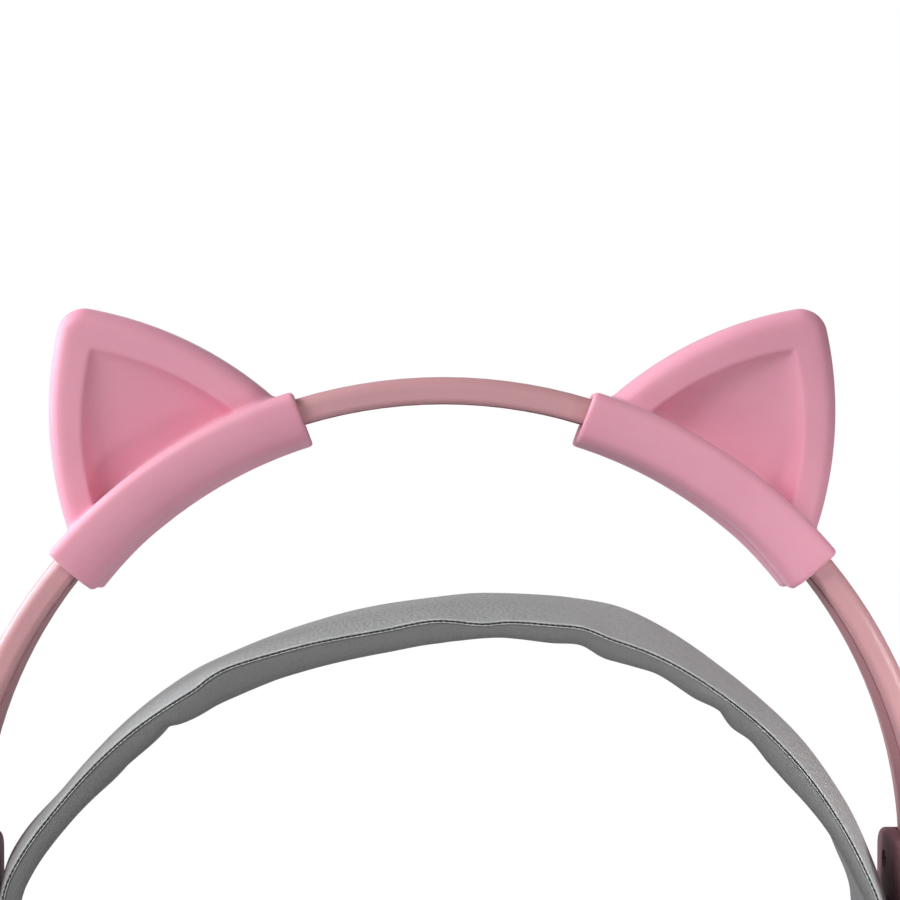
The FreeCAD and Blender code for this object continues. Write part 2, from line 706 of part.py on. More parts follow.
def button_tool(radius, from_r, to_r):
    """A cylinder that points out of the cup's rim at the button."""
    y0, z0 = rear_point(from_r, BUTTON_ANGLE)
    a = math.radians(BUTTON_ANGLE)
    outward = Vector(0, math.cos(a), math.sin(a))
    return cylinder(radius, (BUTTON_X, y0, z0), outward, to_r - from_r)


def shell_profile():
    """Outline of the cup shell's wall, outside then inside."""
    inside = [
        (x - (SHELL_END_T if x > 91 else 0), r - SHELL_T) for x, r in reversed(SHELL_OUTLINE)
    ]
    lip = [(DISC_X, DISC_R - 3), (DISC_X - SHELL_END_T, DISC_R - 3)]
    return SHELL_OUTLINE + lip + inside


def lamp_places(distance):
    """(y, z) of eight places round the cup's axis, one for each lamp."""
    turns = [math.radians(22.5 + 45 * i) for i in range(8)]
    return [(distance * math.cos(a), CUP_Z + distance * math.sin(a)) for a in turns]


def screw_places():
    """(y, z) of the four screws that hold the baffle."""
    turns = [math.radians(45 + 90 * i) for i in range(4)]
    return [(CUP_SCREW_R * math.cos(a), CUP_Z + CUP_SCREW_R * math.sin(a)) for a in turns]


def cup_shell(side):
    """Outer shell of a cup, with its posts, pivot bosses and openings."""
    shell = turned(shell_profile())
    shell = round_edges(shell, 1.2, lambda e: on_circle(e, 40.4))
    bosses = [
        cylinder(PIVOT_BOSS_R, (PIVOT_X, 31.0 if s > 0 else -41.9, CUP_Z), Y_AXIS, 10.9)
        for s in (-1, 1)
    ]
    posts = [cylinder(POST_R, (64.1, y, z), X_AXIS, 26.5) for y, z in screw_places()]
    shell = fuse(shell, *bosses, *posts, button_tool(BUTTON_TUBE_R, 31.0, 40.0))
    tools = [
        cylinder(PIN_R + 0.05, (PIVOT_X, PIN_Y0 if s > 0 else -60, CUP_Z), Y_AXIS, 60 - PIN_Y0)
        for s in (-1, 1)
    ]
    tools += [cylinder(SCREW_HOLE_R, (64, y, z), X_AXIS, 8.0) for y, z in screw_places()]
    tools.append(cylinder(GLOW_R + TIGHT, (DISC_X - 1.0, 0, CUP_Z), X_AXIS, 5))
    tools.append(button_tool(BUTTON_R + GAP, 34, 48))
    tools.append(button_tool(BUTTON_COLLAR_R + GAP, 32.4, 38.2))
    for y, z in lamp_places(26.0):
        tools.append(cylinder(0.9, (DISC_X - 3, y, z), X_AXIS, 3))
    if side == "left":
        y, z = rear_point(WHEEL_MID, -WHEEL_ANGLE)
        tools.append(cylinder(WHEEL_R + 0.5, (WHEEL_X0 - 0.5, y, z), X_AXIS, 5.0))
        tools.append(cylinder(JACK_BODY_R + TIGHT, (JACK_X, 0, CUP_Z - 60), Z_AXIS, 34))
        shell = fuse(shell, mic_seat())
        tools.append(
            cylinder(MIC_HUB_R + GAP, (MIC_FACE_X - GAP, MIC_Y, CUP_Z + MIC_DZ), X_AXIS, 30)
        )
        tools.append(cylinder(MIC_PIN_R + 0.06, (70, MIC_Y, CUP_Z + MIC_DZ), X_AXIS, 20))
    return cut(shell, *tools)


def mic_seat():
    """Round boss for the microphone's hub, and the wall of the pocket it turns in."""
    z = CUP_Z + MIC_DZ
    boss = cut(
        cylinder(MIC_HUB_R, (MIC_ROOT_X, MIC_Y, z), X_AXIS, MIC_FACE_X - GAP - MIC_ROOT_X),
        cylinder(SHELL_R - SHELL_T, (60, 0, CUP_Z), X_AXIS, 40),
    )
    outline = [p for p in SHELL_OUTLINE if p[0] > MIC_ROOT_X]
    filled = turned([(MIC_ROOT_X, 0)] + outline + [(DISC_X, 0)])
    wall = cylinder(MIC_HUB_R + 2.2, (MIC_ROOT_X, MIC_Y, z), X_AXIS, 25).common(filled)
    return fuse(boss, wall)


def face_plate():
    """Slightly domed disc in the middle of the cup's outer face, with turned grooves."""
    outline = [
        (DISC_X - 0.9, 0.0), (DISC_X + 1.7, 0.0), (DISC_X + 1.6, 8.0), (DISC_X + 1.2, 16.0),
        (DISC_X + 0.9, 19.0), (DISC_X + 0.5, 19.4), (DISC_X + 0.7, 20.4),
        (DISC_X + 0.4, DISC_R - 0.8), (DISC_X - 0.1, DISC_R - TIGHT),
        (DISC_X - 0.9, DISC_R - TIGHT),
    ]
    return turned(outline)


def light_ring():
    """Clear ring that the lights shine through."""
    outline = [
        (DISC_X - 0.9, DISC_R + TIGHT), (DISC_X + 0.3, DISC_R + TIGHT),
        (DISC_X + 0.7, DISC_R + 0.8), (DISC_X + 0.6, GLOW_R - 0.9),
        (DISC_X + 0.1, GLOW_R - TIGHT), (DISC_X - 0.9, GLOW_R - TIGHT),
    ]
    return turned(outline)


def light_board():
    """Ring-shaped board with the lamps, behind the clear ring."""
    board = turned([(95.3, 15.0), (96.2, 15.0), (96.2, 27.4), (95.3, 27.4)])
    lamps = [
        box(96.1, 97.0, y - 1.1, y + 1.1, z - 1.1, z + 1.1) for y, z in lamp_places(24.8)
    ]
    return fuse(board, *lamps)


def cup_baffle():
    """Plate that closes the shell and holds the driver, with vents and a cushion groove."""
    plate = turned([
        (61.6, 22.5), (61.6, 38.6), (62.6, 38.6), (62.6, 40.0), (RIM_X - TIGHT, 40.0),
        (RIM_X - TIGHT, 38.1), (65.4, 38.1), (65.4, 37.3), (64.0, 37.3), (64.0, 22.5),
    ])
    vents = []
    for i in range(12):
        a = math.radians(30 * i)
        vents.append(
            cylinder(1.5, (58, 28.4 * math.cos(a), CUP_Z + 28.4 * math.sin(a)), X_AXIS, 8)
        )
    sinks = []
    for y, z in screw_places():
        sinks.append(cylinder(CUP_HEAD_R + TIGHT, (59, y, z), X_AXIS, 3.8))
        sinks.append(cylinder(SCREW_HOLE_R, (59, y, z), X_AXIS, 12))
    return cut(plate, *vents, *sinks)


def driver():
    """Loudspeaker basket and magnet."""
    return turned([
        (62.8, 0.0), (62.8, 2.0), (67.5, 2.0), (67.5, 12.0), (63.6, 20.0), (61.8, 20.0),
        (61.8, 22.4), (64.6, 22.4), (68.6, 20.6), (71.4, 15.4), (77.4, 15.4), (77.4, 0.0),
    ])


def diaphragm():
    """Thin domed cone of the loudspeaker, with the flat edge that is glued to the basket."""
    return turned([
        (61.55, 21.6), (61.75, 21.6), (61.75, 19.8), (62.9, 14.5), (62.0, 9.3), (61.3, 4.0),
        (61.15, 0.0), (60.95, 0.0), (61.1, 4.0), (61.8, 9.4), (62.65, 14.5), (61.55, 19.6),
    ])


def ear_screen():
    """Fabric disc that hides the driver inside the cushion."""
    return turned([(59.6, 0.0), (60.2, 0.0), (60.2, CUSHION_HOLE_R + 3.6),
                   (59.6, CUSHION_HOLE_R + 3.6)])


def cushion():
    """Soft ring that seals round the ear."""
    ring = turned([
        (CUSHION_X0, CUSHION_HOLE_R), (CUSHION_X1, CUSHION_HOLE_R),
        (CUSHION_X1, CUSHION_R), (CUSHION_X0, CUSHION_R),
    ])
    ring = round_edges(
        ring, 7.0, lambda e: on_circle(e, CUSHION_R) and e.BoundBox.XMax < CUSHION_X0 + 1
    )
    ring = round_edges(
        ring, 5.0, lambda e: on_circle(e, CUSHION_HOLE_R) and e.BoundBox.XMax < CUSHION_X0 + 1
    )
    pocket = turned([
        (59.5, CUSHION_HOLE_R - 1), (60.3, CUSHION_HOLE_R - 1), (60.3, CUSHION_HOLE_R + 3.8),
        (59.5, CUSHION_HOLE_R + 3.8),
    ])
    return cut(ring, pocket)


def cup_screws():
    """Four screws that hold the baffle to the shell's posts."""
    screws = []
    for y, z in screw_places():
        head = cylinder(CUP_HEAD_R, (61.75, y, z), X_AXIS, 1.0)
        shank = cylinder(SCREW_R, (62.5, y, z), X_AXIS, 8.0)
        slot_a = box(61.6, 62.25, y - 1.2, y + 1.2, z - 0.2, z + 0.2)
        slot_b = box(61.6, 62.25, y - 0.2, y + 0.2, z - 1.2, z + 1.2)
        screws.append(cut(fuse(head, shank), slot_a, slot_b))
    return screws


def pivot_pins():
    """Two steel pins on which a cup tilts in its yoke."""
    pins = []
    for s in (-1, 1):
        start = PIN_Y0 + 0.1 if s > 0 else -PIN_Y1 - 0.9
        pin = cylinder(PIN_R, (PIVOT_X, start, CUP_Z), Y_AXIS, PIN_Y1 - PIN_Y0 + 0.8)
        cap_y = PIN_Y1 + 0.1 if s > 0 else -PIN_Y1 - 1.1
        pins.append(fuse(pin, cylinder(PIN_CAP_R, (PIVOT_X, cap_y, CUP_Z), Y_AXIS, 1.0)))
    return pins


def circuit_board():
    """Control board with its chips, on the left only."""
    board = cylinder(35.6, (85.2, 0, CUP_Z), X_AXIS, 1.2)
    notches = [cylinder(3.1, (80, y, z), X_AXIS, 10) for y, z in screw_places()]
    notches.append(cylinder(MIC_HUB_R + 2.5, (80, MIC_Y, CUP_Z + MIC_DZ), X_AXIS, 10))
    chips = [
        box(81.6, 85.3, -8, 6, CUP_Z + 4, CUP_Z + 14),
        box(83.4, 85.3, -18, -11, CUP_Z - 12, CUP_Z - 4),
        box(82.8, 85.3, 9, 19, CUP_Z - 6, CUP_Z + 2),
    ]
    return fuse(cut(board, *notches), *chips)


def jack_socket():
    """Round socket for a 3.5 mm plug, in the bottom of the left cup."""
    top = CUP_Z - 26.4
    mouth = CUP_Z - SHELL_R - 0.6
    body = cylinder(JACK_BODY_R, (JACK_X, 0, mouth), Z_AXIS, top - mouth)
    flange = cut(
        cylinder(JACK_FLANGE_R, (JACK_X, 0, mouth), Z_AXIS, 1.6),
        cylinder(SHELL_R + 0.02, (60, 0, CUP_Z), X_AXIS, 40),
    )
    body = fuse(body, flange)
    return cut(body, cylinder(JACK_R, (JACK_X, 0, mouth - 0.5), Z_AXIS, 14.5))


# ---------------------------------------------------------------- controls
def volume_wheel():
    """Knurled thumb wheel that stands out of the rear of the left cup."""
    y, z = rear_point(WHEEL_MID, -WHEEL_ANGLE)
    wheel = cylinder(WHEEL_R, (WHEEL_X0, y, z), X_AXIS, WHEEL_X1 - WHEEL_X0)
    wheel = round_edges(wheel, 0.6, lambda e: on_circle(e, WHEEL_R))
    notches = []
    count = 24
    for i in range(count):
        a = 2 * math.pi * i / count
        notches.append(
            cylinder(
                0.42,
                (WHEEL_X0 - 1, y + (WHEEL_R + 0.12) * math.cos(a),
                 z + (WHEEL_R + 0.12) * math.sin(a)),
                X_AXIS, 6,
            )
        )
    return cut(wheel, *notches, cylinder(SHAFT_R + 0.06, (60, y, z), X_AXIS, 20))


def volume_pot():
    """Potentiometer that the wheel turns."""
    y, z = rear_point(WHEEL_MID, -WHEEL_ANGLE)
    shaft = cylinder(SHAFT_R, (WHEEL_X0 - 0.4, y, z), X_AXIS, 6.0)
    body = box(WHEEL_X1 + 0.4, WHEEL_X1 + 4.4, y - 6.3, y + 1.1, z - 3.4, z + 3.4)
    stand = box(WHEEL_X1 + 4.0, 85.2, y - 6.3, y - 1.3, z - 3.0, z + 3.0)
    return fuse(shaft, body, stand)


def rim_button():
    """Push button in the rim: a cap with a collar that keeps it in."""
    cap = button_tool(BUTTON_R, 37.5, 42.6)
    cap = round_edges(cap, 0.7, lambda e: on_circle(e, BUTTON_R) and e.Length > 5)
    collar = button_tool(BUTTON_COLLAR_R, 37.0, 38.1)
    return fuse(cap, collar)


def button_switch():
    """Tactile switch under the button, in the foot of the button's tube."""
    return button_tool(2.4, 32.45, 35.8)


# ---------------------------------------------------------------- microphone
MIC_X0, MIC_X1 = MIC_FACE_X, 85.4
BOOM_R = 2.3
BOOM_SOCKET_R = 3.0
MIC_R, CAPSULE_R, FOAM_R = 4.6, 3.0, 7.4
# Route of the boom from its hub, (x, y, height over the cup's axis).
BOOM_LINE = [
    (82.0, MIC_Y - 4.0, MIC_DZ - 2.0),
    (81.0, -61.0, MIC_DZ - 12.0),
    (76.0, -79.0, MIC_DZ - 25.0),
    (65.5, -95.0, MIC_DZ - 35.0),
    (52.5, -106.0, MIC_DZ - 40.0),
]


def boom_points():
    """The boom's route in the part's frame."""
    return [Vector(x, y, CUP_Z + z) for x, y, z in BOOM_LINE]


def rounded_path(points):
    """Straight runs joined by tangent arcs, each as large as its two runs allow."""
    edges = []
    start = points[0]
    for before, corner, after in zip(points, points[1:], points[2:]):
        into, out = (before - corner).normalize(), (after - corner).normalize()
        reach = 0.45 * min(before.distanceToPoint(corner), after.distanceToPoint(corner))
        half_turn = (math.pi - into.getAngle(out)) / 2
        first, last = corner + into * reach, corner + out * reach
        inward = (into + out).normalize()
        radius = reach / math.tan(half_turn)
        middle = corner + inward * (radius / math.cos(half_turn) - radius)
        edges.append(Part.makeLine(start, first))
        edges.append(Part.Arc(first, middle, last).toShape())
        start = last
    edges.append(Part.makeLine(start, points[-1]))
    return Part.Wire(edges)


def mic_hub():
    """Round hub that turns on the cup, with the pin that carries it."""
    z = CUP_Z + MIC_DZ
    hub = cylinder(MIC_HUB_R, (MIC_X0, MIC_Y, z), X_AXIS, MIC_X1 - MIC_X0)
    hub = round_edges(
        hub, 1.6, lambda e: on_circle(e, MIC_HUB_R) and e.BoundBox.XMin > MIC_X0 + 1
    )
    pin = cylinder(MIC_PIN_R, (70.2, MIC_Y, z), X_AXIS, 9.0)
    start, toward = boom_points()[:2]
    direction = (toward - start).normalize()
    socket = cylinder(BOOM_SOCKET_R, tuple(start - direction * 1.0), direction, 6.0)
    body = fuse(hub, socket, pin)
    return cut(body, cylinder(BOOM_R + TIGHT, tuple(start), direction, 20))


def mic_boom():
    """Bendable stalk of the microphone."""
    points = boom_points()
    circle = Part.Wire(Part.Circle(points[0], points[1] - points[0], BOOM_R).toShape())
    return rounded_path(points).makePipeShell([circle], True, True)


def mic_frame():
    """End point and direction of the boom."""
    before, end = boom_points()[-2:]
    return end, (end - before).normalize()


def mic_cylinder(radius, start, length):
    """A cylinder in line with the end of the boom."""
    end, along = mic_frame()
    return cylinder(radius, tuple(end + along * start), along, length)


def mic_housing():
    """Case of the microphone, with a socket for the boom and a pocket for the capsule."""
    case = mic_cylinder(MIC_R, -4.0, 15.0)
    case = round_edges(case, 1.4, lambda e: on_circle(e, MIC_R))
    pocket = mic_cylinder(CAPSULE_R + 0.15, 5.0, 7.0)
    return cut(case, mic_cylinder(BOOM_R + TIGHT, -5.0, 5.0 + TIGHT), pocket)


def mic_capsule():
    """Electret capsule."""
    return mic_cylinder(CAPSULE_R, 5.1, 4.0)


def mic_windscreen():
    """Foam cover over the microphone."""
    foam = mic_cylinder(FOAM_R, 0.4, 17.0)
    foam = round_edges(foam, 5.5, lambda e: on_circle(e, FOAM_R) and far_end(e))
    foam = round_edges(foam, 1.6, lambda e: on_circle(e, FOAM_R))
    return cut(foam, mic_cylinder(MIC_R + 0.02, -1.0, 12.1))


def far_end(edge):
    """True for an edge at the outer end of the windscreen."""
    end, along = mic_frame()
    return (edge.CenterOfMass - end).dot(along) > 8


# ---------------------------------------------------------------- build every node
def build():
    """Makes and saves every node, the left side as drawn and the right side mirrored."""
    save("arch_shell", arch_shell())
    save("arch_cover", arch_cover())
    save("arch_spring", arch_spring())
    save("crossover_wire", crossover_wire())
    save("cat_ear_left", cat_ear(1))
    save("cat_ear_right", cat_ear(-1))
    save("strap_leather", rivet_holes(strap_leather()))
    save("strap_padding", rivet_holes(strap_padding()))
    save("strap_rivets", *strap_rivets(1), *strap_rivets(-1))

    per_side = {
        "strap_tongue": [strap_tongue()],
        "elastic_cords": elastic_cords(),
        "housing_outer": [housing_half(True)],
        "housing_inner": [housing_half(False)],
        "housing_screws": housing_screws(),
        "yoke": [yoke()],
        "swivel_pin": [swivel_pin()],
        "swivel_clip": [swivel_clip()],
        "face_plate": [face_plate()],
        "light_ring": [light_ring()],
        "light_board": [light_board()],
        "cup_baffle": [cup_baffle()],
        "driver": [driver()],
        "diaphragm": [diaphragm()],
        "ear_screen": [ear_screen()],
        "ear_cushion": [cushion()],
        "cup_screws": cup_screws(),
        "pivot_pins": pivot_pins(),
    }
    for name, solids in per_side.items():
        save(f"{name}_left", *solids)
        save(f"{name}_right", *[mirrored(s) for s in solids])

    save("cup_shell_left", cup_shell("left"))
    save("cup_shell_right", mirrored(cup_shell("right")))
    save("circuit_board", circuit_board())
    save("jack_socket", jack_socket())
    save("volume_wheel", volume_wheel())
    save("volume_pot", volume_pot())
    save("mute_button", rim_button())
    save("light_button", mirrored(rim_button()))
    save("button_switch_left", button_switch())
    save("button_switch_right", mirrored(button_switch()))
    save("mic_hub", mic_hub())
    save("mic_boom", mic_boom())
    save("mic_housing", mic_housing())
    save("mic_capsule", mic_capsule())
    save("mic_windscreen", mic_windscreen())


build()
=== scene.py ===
"""Looks of a cat-eared gaming headset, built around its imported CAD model.

Lengths here are in millimetres, in the part's frame: +X to the wearer's left, -Y forward, +Z up.
make() turns them into metres. Places come from the CAD nodes' boxes.
"""
import json
import math

import bpy
import numpy as np
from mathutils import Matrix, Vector, noise


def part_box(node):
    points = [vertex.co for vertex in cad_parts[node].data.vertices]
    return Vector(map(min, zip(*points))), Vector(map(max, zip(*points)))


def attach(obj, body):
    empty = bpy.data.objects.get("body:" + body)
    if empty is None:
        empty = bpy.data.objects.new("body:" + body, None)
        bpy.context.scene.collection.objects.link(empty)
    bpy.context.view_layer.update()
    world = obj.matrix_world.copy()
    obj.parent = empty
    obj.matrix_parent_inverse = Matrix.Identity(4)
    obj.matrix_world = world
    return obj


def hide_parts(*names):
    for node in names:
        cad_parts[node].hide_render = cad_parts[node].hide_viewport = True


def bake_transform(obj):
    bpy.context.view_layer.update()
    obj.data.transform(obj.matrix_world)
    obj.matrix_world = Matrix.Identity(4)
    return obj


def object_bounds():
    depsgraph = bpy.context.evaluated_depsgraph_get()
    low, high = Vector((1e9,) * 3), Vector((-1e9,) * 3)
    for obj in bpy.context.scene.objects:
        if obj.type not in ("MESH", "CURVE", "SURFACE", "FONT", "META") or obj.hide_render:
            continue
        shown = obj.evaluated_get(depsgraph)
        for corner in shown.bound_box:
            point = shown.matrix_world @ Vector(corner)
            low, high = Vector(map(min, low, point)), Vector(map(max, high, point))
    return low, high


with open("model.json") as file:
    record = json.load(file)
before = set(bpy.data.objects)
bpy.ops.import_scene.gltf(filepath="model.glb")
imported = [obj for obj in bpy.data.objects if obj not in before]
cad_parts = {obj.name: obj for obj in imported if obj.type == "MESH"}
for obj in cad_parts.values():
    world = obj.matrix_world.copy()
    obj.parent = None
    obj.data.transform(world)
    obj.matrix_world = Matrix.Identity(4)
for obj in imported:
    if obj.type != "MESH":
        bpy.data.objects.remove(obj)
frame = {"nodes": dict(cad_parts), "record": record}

cad_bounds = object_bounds()
MM = 0.001
SIDES = (("left", 1), ("right", -1))


# -------- places, from the frame
def box_mm(node):
    """(lowest corner, highest corner) of a CAD node, in millimetres."""
    low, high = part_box(node)
    return low / MM, high / MM


arch_high = box_mm("arch_shell")[1]
ARCH_R = arch_high.x                       # outer radius of the arch
CENTRE_Z = arch_high.z - ARCH_R            # height of its centre
ARCH_T = 4.9                               # radial thickness of the arch
cushion_low, cushion_high = box_mm("ear_cushion_left")
CUP_Z = (cushion_low.z + cushion_high.z) / 2
FLOOR_Z = cad_bounds[0].z / MM


# -------- mesh tools
def make(name, points, faces, body, slot, material=None):
    """A mesh piece from points in millimetres, riding on a CAD body, in its slot's material."""
    mesh = bpy.data.meshes.new(name)
    places = [tuple(float(c) * MM for c in p) for p in points]
    mesh.from_pydata(places, [], [list(map(int, f)) for f in faces])
    mesh.validate()
    mesh.polygons.foreach_set("use_smooth", [True] * len(mesh.polygons))
    mesh.update()
    piece = bpy.data.objects.new(name, mesh)
    bpy.context.scene.collection.objects.link(piece)
    mesh.materials.append(material or MATERIALS[slot])
    if body:
        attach(piece, body)
    return piece


def grid_faces(rows, columns, close_rows=False, close_columns=False):
    """Quads of a grid whose points are listed row by row."""
    faces = []
    for i in range(rows if close_rows else rows - 1):
        for j in range(columns if close_columns else columns - 1):
            i2, j2 = (i + 1) % rows, (j + 1) % columns
            faces.append((i * columns + j, i * columns + j2, i2 * columns + j2, i2 * columns + j))
    return faces


def capped_grid(rows, columns):
    """Quads of rows of a closed section, and a cap on both ends."""
    last = (rows - 1) * columns
    caps = [list(range(columns))[::-1], [last + j for j in range(columns)]]
    return grid_faces(rows, columns, close_columns=True) + caps


def flipped(faces):
    """The same faces seen from the other side."""
    return [face[::-1] for face in faces]


def spun(section, around, sign=1, closed=False):
    """Points and faces of a section, as (x, radius), spun about the cups' axis."""
    points = []
    for i in range(around):
        turn = 2 * math.pi * i / around
        points += [(sign * x, r * math.cos(turn), CUP_Z + r * math.sin(turn)) for x, r in section]
    return points, grid_faces(around, len(section), close_rows=True, close_columns=closed)


def marks_along(path):
    """How far along a list of Vectors each one lies."""
    marks = [0.0]
    for a, b in zip(path, path[1:]):
        marks.append(marks[-1] + (b - a).length)
    return marks


def tube(path, radius_at, around):
    """Points and faces of a capped tube along a list of Vectors; radius_at gives each ring's radius."""
    points = []
    side = Vector((0, 0, 1)) if abs((path[1] - path[0]).normalized().z) < 0.9 else Vector((1, 0, 0))
    for i, place in enumerate(path):
        along = (path[min(i + 1, len(path) - 1)] - path[max(i - 1, 0)]).normalized()
        across = along.cross(side).normalized()
        side = across.cross(along).normalized()
        for j in range(around):
            turn = 2 * math.pi * j / around
            points.append(place + (across * math.cos(turn) + side * math.sin(turn)) * radius_at(i))
    return points, capped_grid(len(path), around)


def joined(parts):
    """One list of points and one of faces from several."""
    points, faces = [], []
    for part_points, part_faces in parts:
        start = len(points)
        points += list(part_points)
        faces += [[start + i for i in face] for face in part_faces]
    return points, faces


def eased(value, start, end):
    """0 before start, 1 past end, and a smooth rise between."""
    share = np.clip((value - start) / (end - start), 0, 1)
    return share * share * (3 - 2 * share)


def through(knots, at):
    """A smooth value at a place, from (place, value) knots."""
    places = [k[0] for k in knots]
    i = int(np.clip(np.searchsorted(places, at) - 1, 0, len(knots) - 2))
    (x0, v0), (x1, v1) = knots[i], knots[i + 1]
    before = knots[max(i - 1, 0)]
    after = knots[min(i + 2, len(knots) - 1)]
    slope0 = (v1 - before[1]) / max(x1 - before[0], 1e-6)
    slope1 = (after[1] - v0) / max(after[0] - x0, 1e-6)
    span = x1 - x0
    t = min(max((at - x0) / span, 0.0), 1.0)
    return (
        v0 * (2 * t**3 - 3 * t**2 + 1) + slope0 * span * (t**3 - 2 * t**2 + t)
        + v1 * (3 * t**2 - 2 * t**3) + slope1 * span * (t**3 - t**2)
    )


# -------- soft shapes from a distance field
# Grid points are drawn onto the true surface in rounds: the slope is measured over NEAR, counts
# as at least LEAST_STEEPNESS, and no round moves a point further than FARTHEST_MOVE.
SETTLE_ROUNDS, NEAR, LEAST_STEEPNESS, FARTHEST_MOVE = 3, 0.02, 0.05, 0.4


def round_max(a, b, radius):
    """Where both fields are inside, with the edge between them rounded."""
    return np.minimum(-radius, np.maximum(a, b)) + np.hypot(
        np.maximum(radius + a, 0), np.maximum(radius + b, 0)
    )


def round_min(a, b, radius):
    """Where either field is inside, with a fillet between them."""
    return np.maximum(radius, np.minimum(a, b)) - np.hypot(
        np.maximum(radius - a, 0), np.maximum(radius - b, 0)
    )


def surface(field, low, high, step):
    """Points and quads on field = 0; the field is negative inside."""
    axes = [np.arange(a, b + step, step) for a, b in zip(low, high)]
    grid = np.stack(np.meshgrid(*axes, indexing="ij"), -1)
    value = field(grid[..., 0], grid[..., 1], grid[..., 2])
    cells = tuple(n - 1 for n in value.shape)
    total, count = np.zeros(cells + (3,)), np.zeros(cells)
    crossings = []
    for axis in range(3):
        others = [a for a in range(3) if a != axis]
        start = [slice(None)] * 3
        end = [slice(None)] * 3
        start[axis], end[axis] = slice(0, -1), slice(1, None)
        a, b = value[tuple(start)], value[tuple(end)]
        cross = (a < 0) != (b < 0)
        share = np.where(cross, a / np.where(cross, a - b, 1), 0)
        place = grid[tuple(start)].copy()
        place[..., axis] += share * step
        crossings.append((axis, others, cross, a < 0))
        for d0 in (0, 1):
            for d1 in (0, 1):
                part = [slice(None)] * 3
                part[others[0]] = slice(d0, d0 + cells[others[0]])
                part[others[1]] = slice(d1, d1 + cells[others[1]])
                total += place[tuple(part)] * cross[tuple(part)][..., None]
                count += cross[tuple(part)]
    used = count > 0
    number = np.full(cells, -1)
    number[used] = np.arange(used.sum())
    points = total[used] / count[used][:, None]
    faces = []
    for axis, others, cross, inside in crossings:
        at = np.argwhere(cross)
        keep = np.all([(at[:, o] > 0) & (at[:, o] < cells[o]) for o in others], axis=0)
        at = at[keep]
        flip = inside[tuple(at.T)] ^ (axis == 1)
        ring = []
        for d0, d1 in ((1, 1), (0, 1), (0, 0), (1, 0)):
            cell = at.copy()
            cell[:, others[0]] -= d0
            cell[:, others[1]] -= d1
            ring.append(number[tuple(cell.T)])
        quads = np.stack(ring, -1)
        quads[~flip] = quads[~flip][:, ::-1]
        faces.append(quads)
    for _ in range(SETTLE_ROUNDS):
        here = field(*points.T)
        slope = np.stack([
            (field(*(points + NEAR * unit).T) - field(*(points - NEAR * unit).T)) / (2 * NEAR)
            for unit in np.eye(3)
        ], -1)
        steepness = np.maximum((slope**2).sum(-1), LEAST_STEEPNESS)
        points -= np.clip(here / steepness, -FARTHEST_MOVE, FARTHEST_MOVE)[:, None] * slope
    return points, np.concatenate(faces)


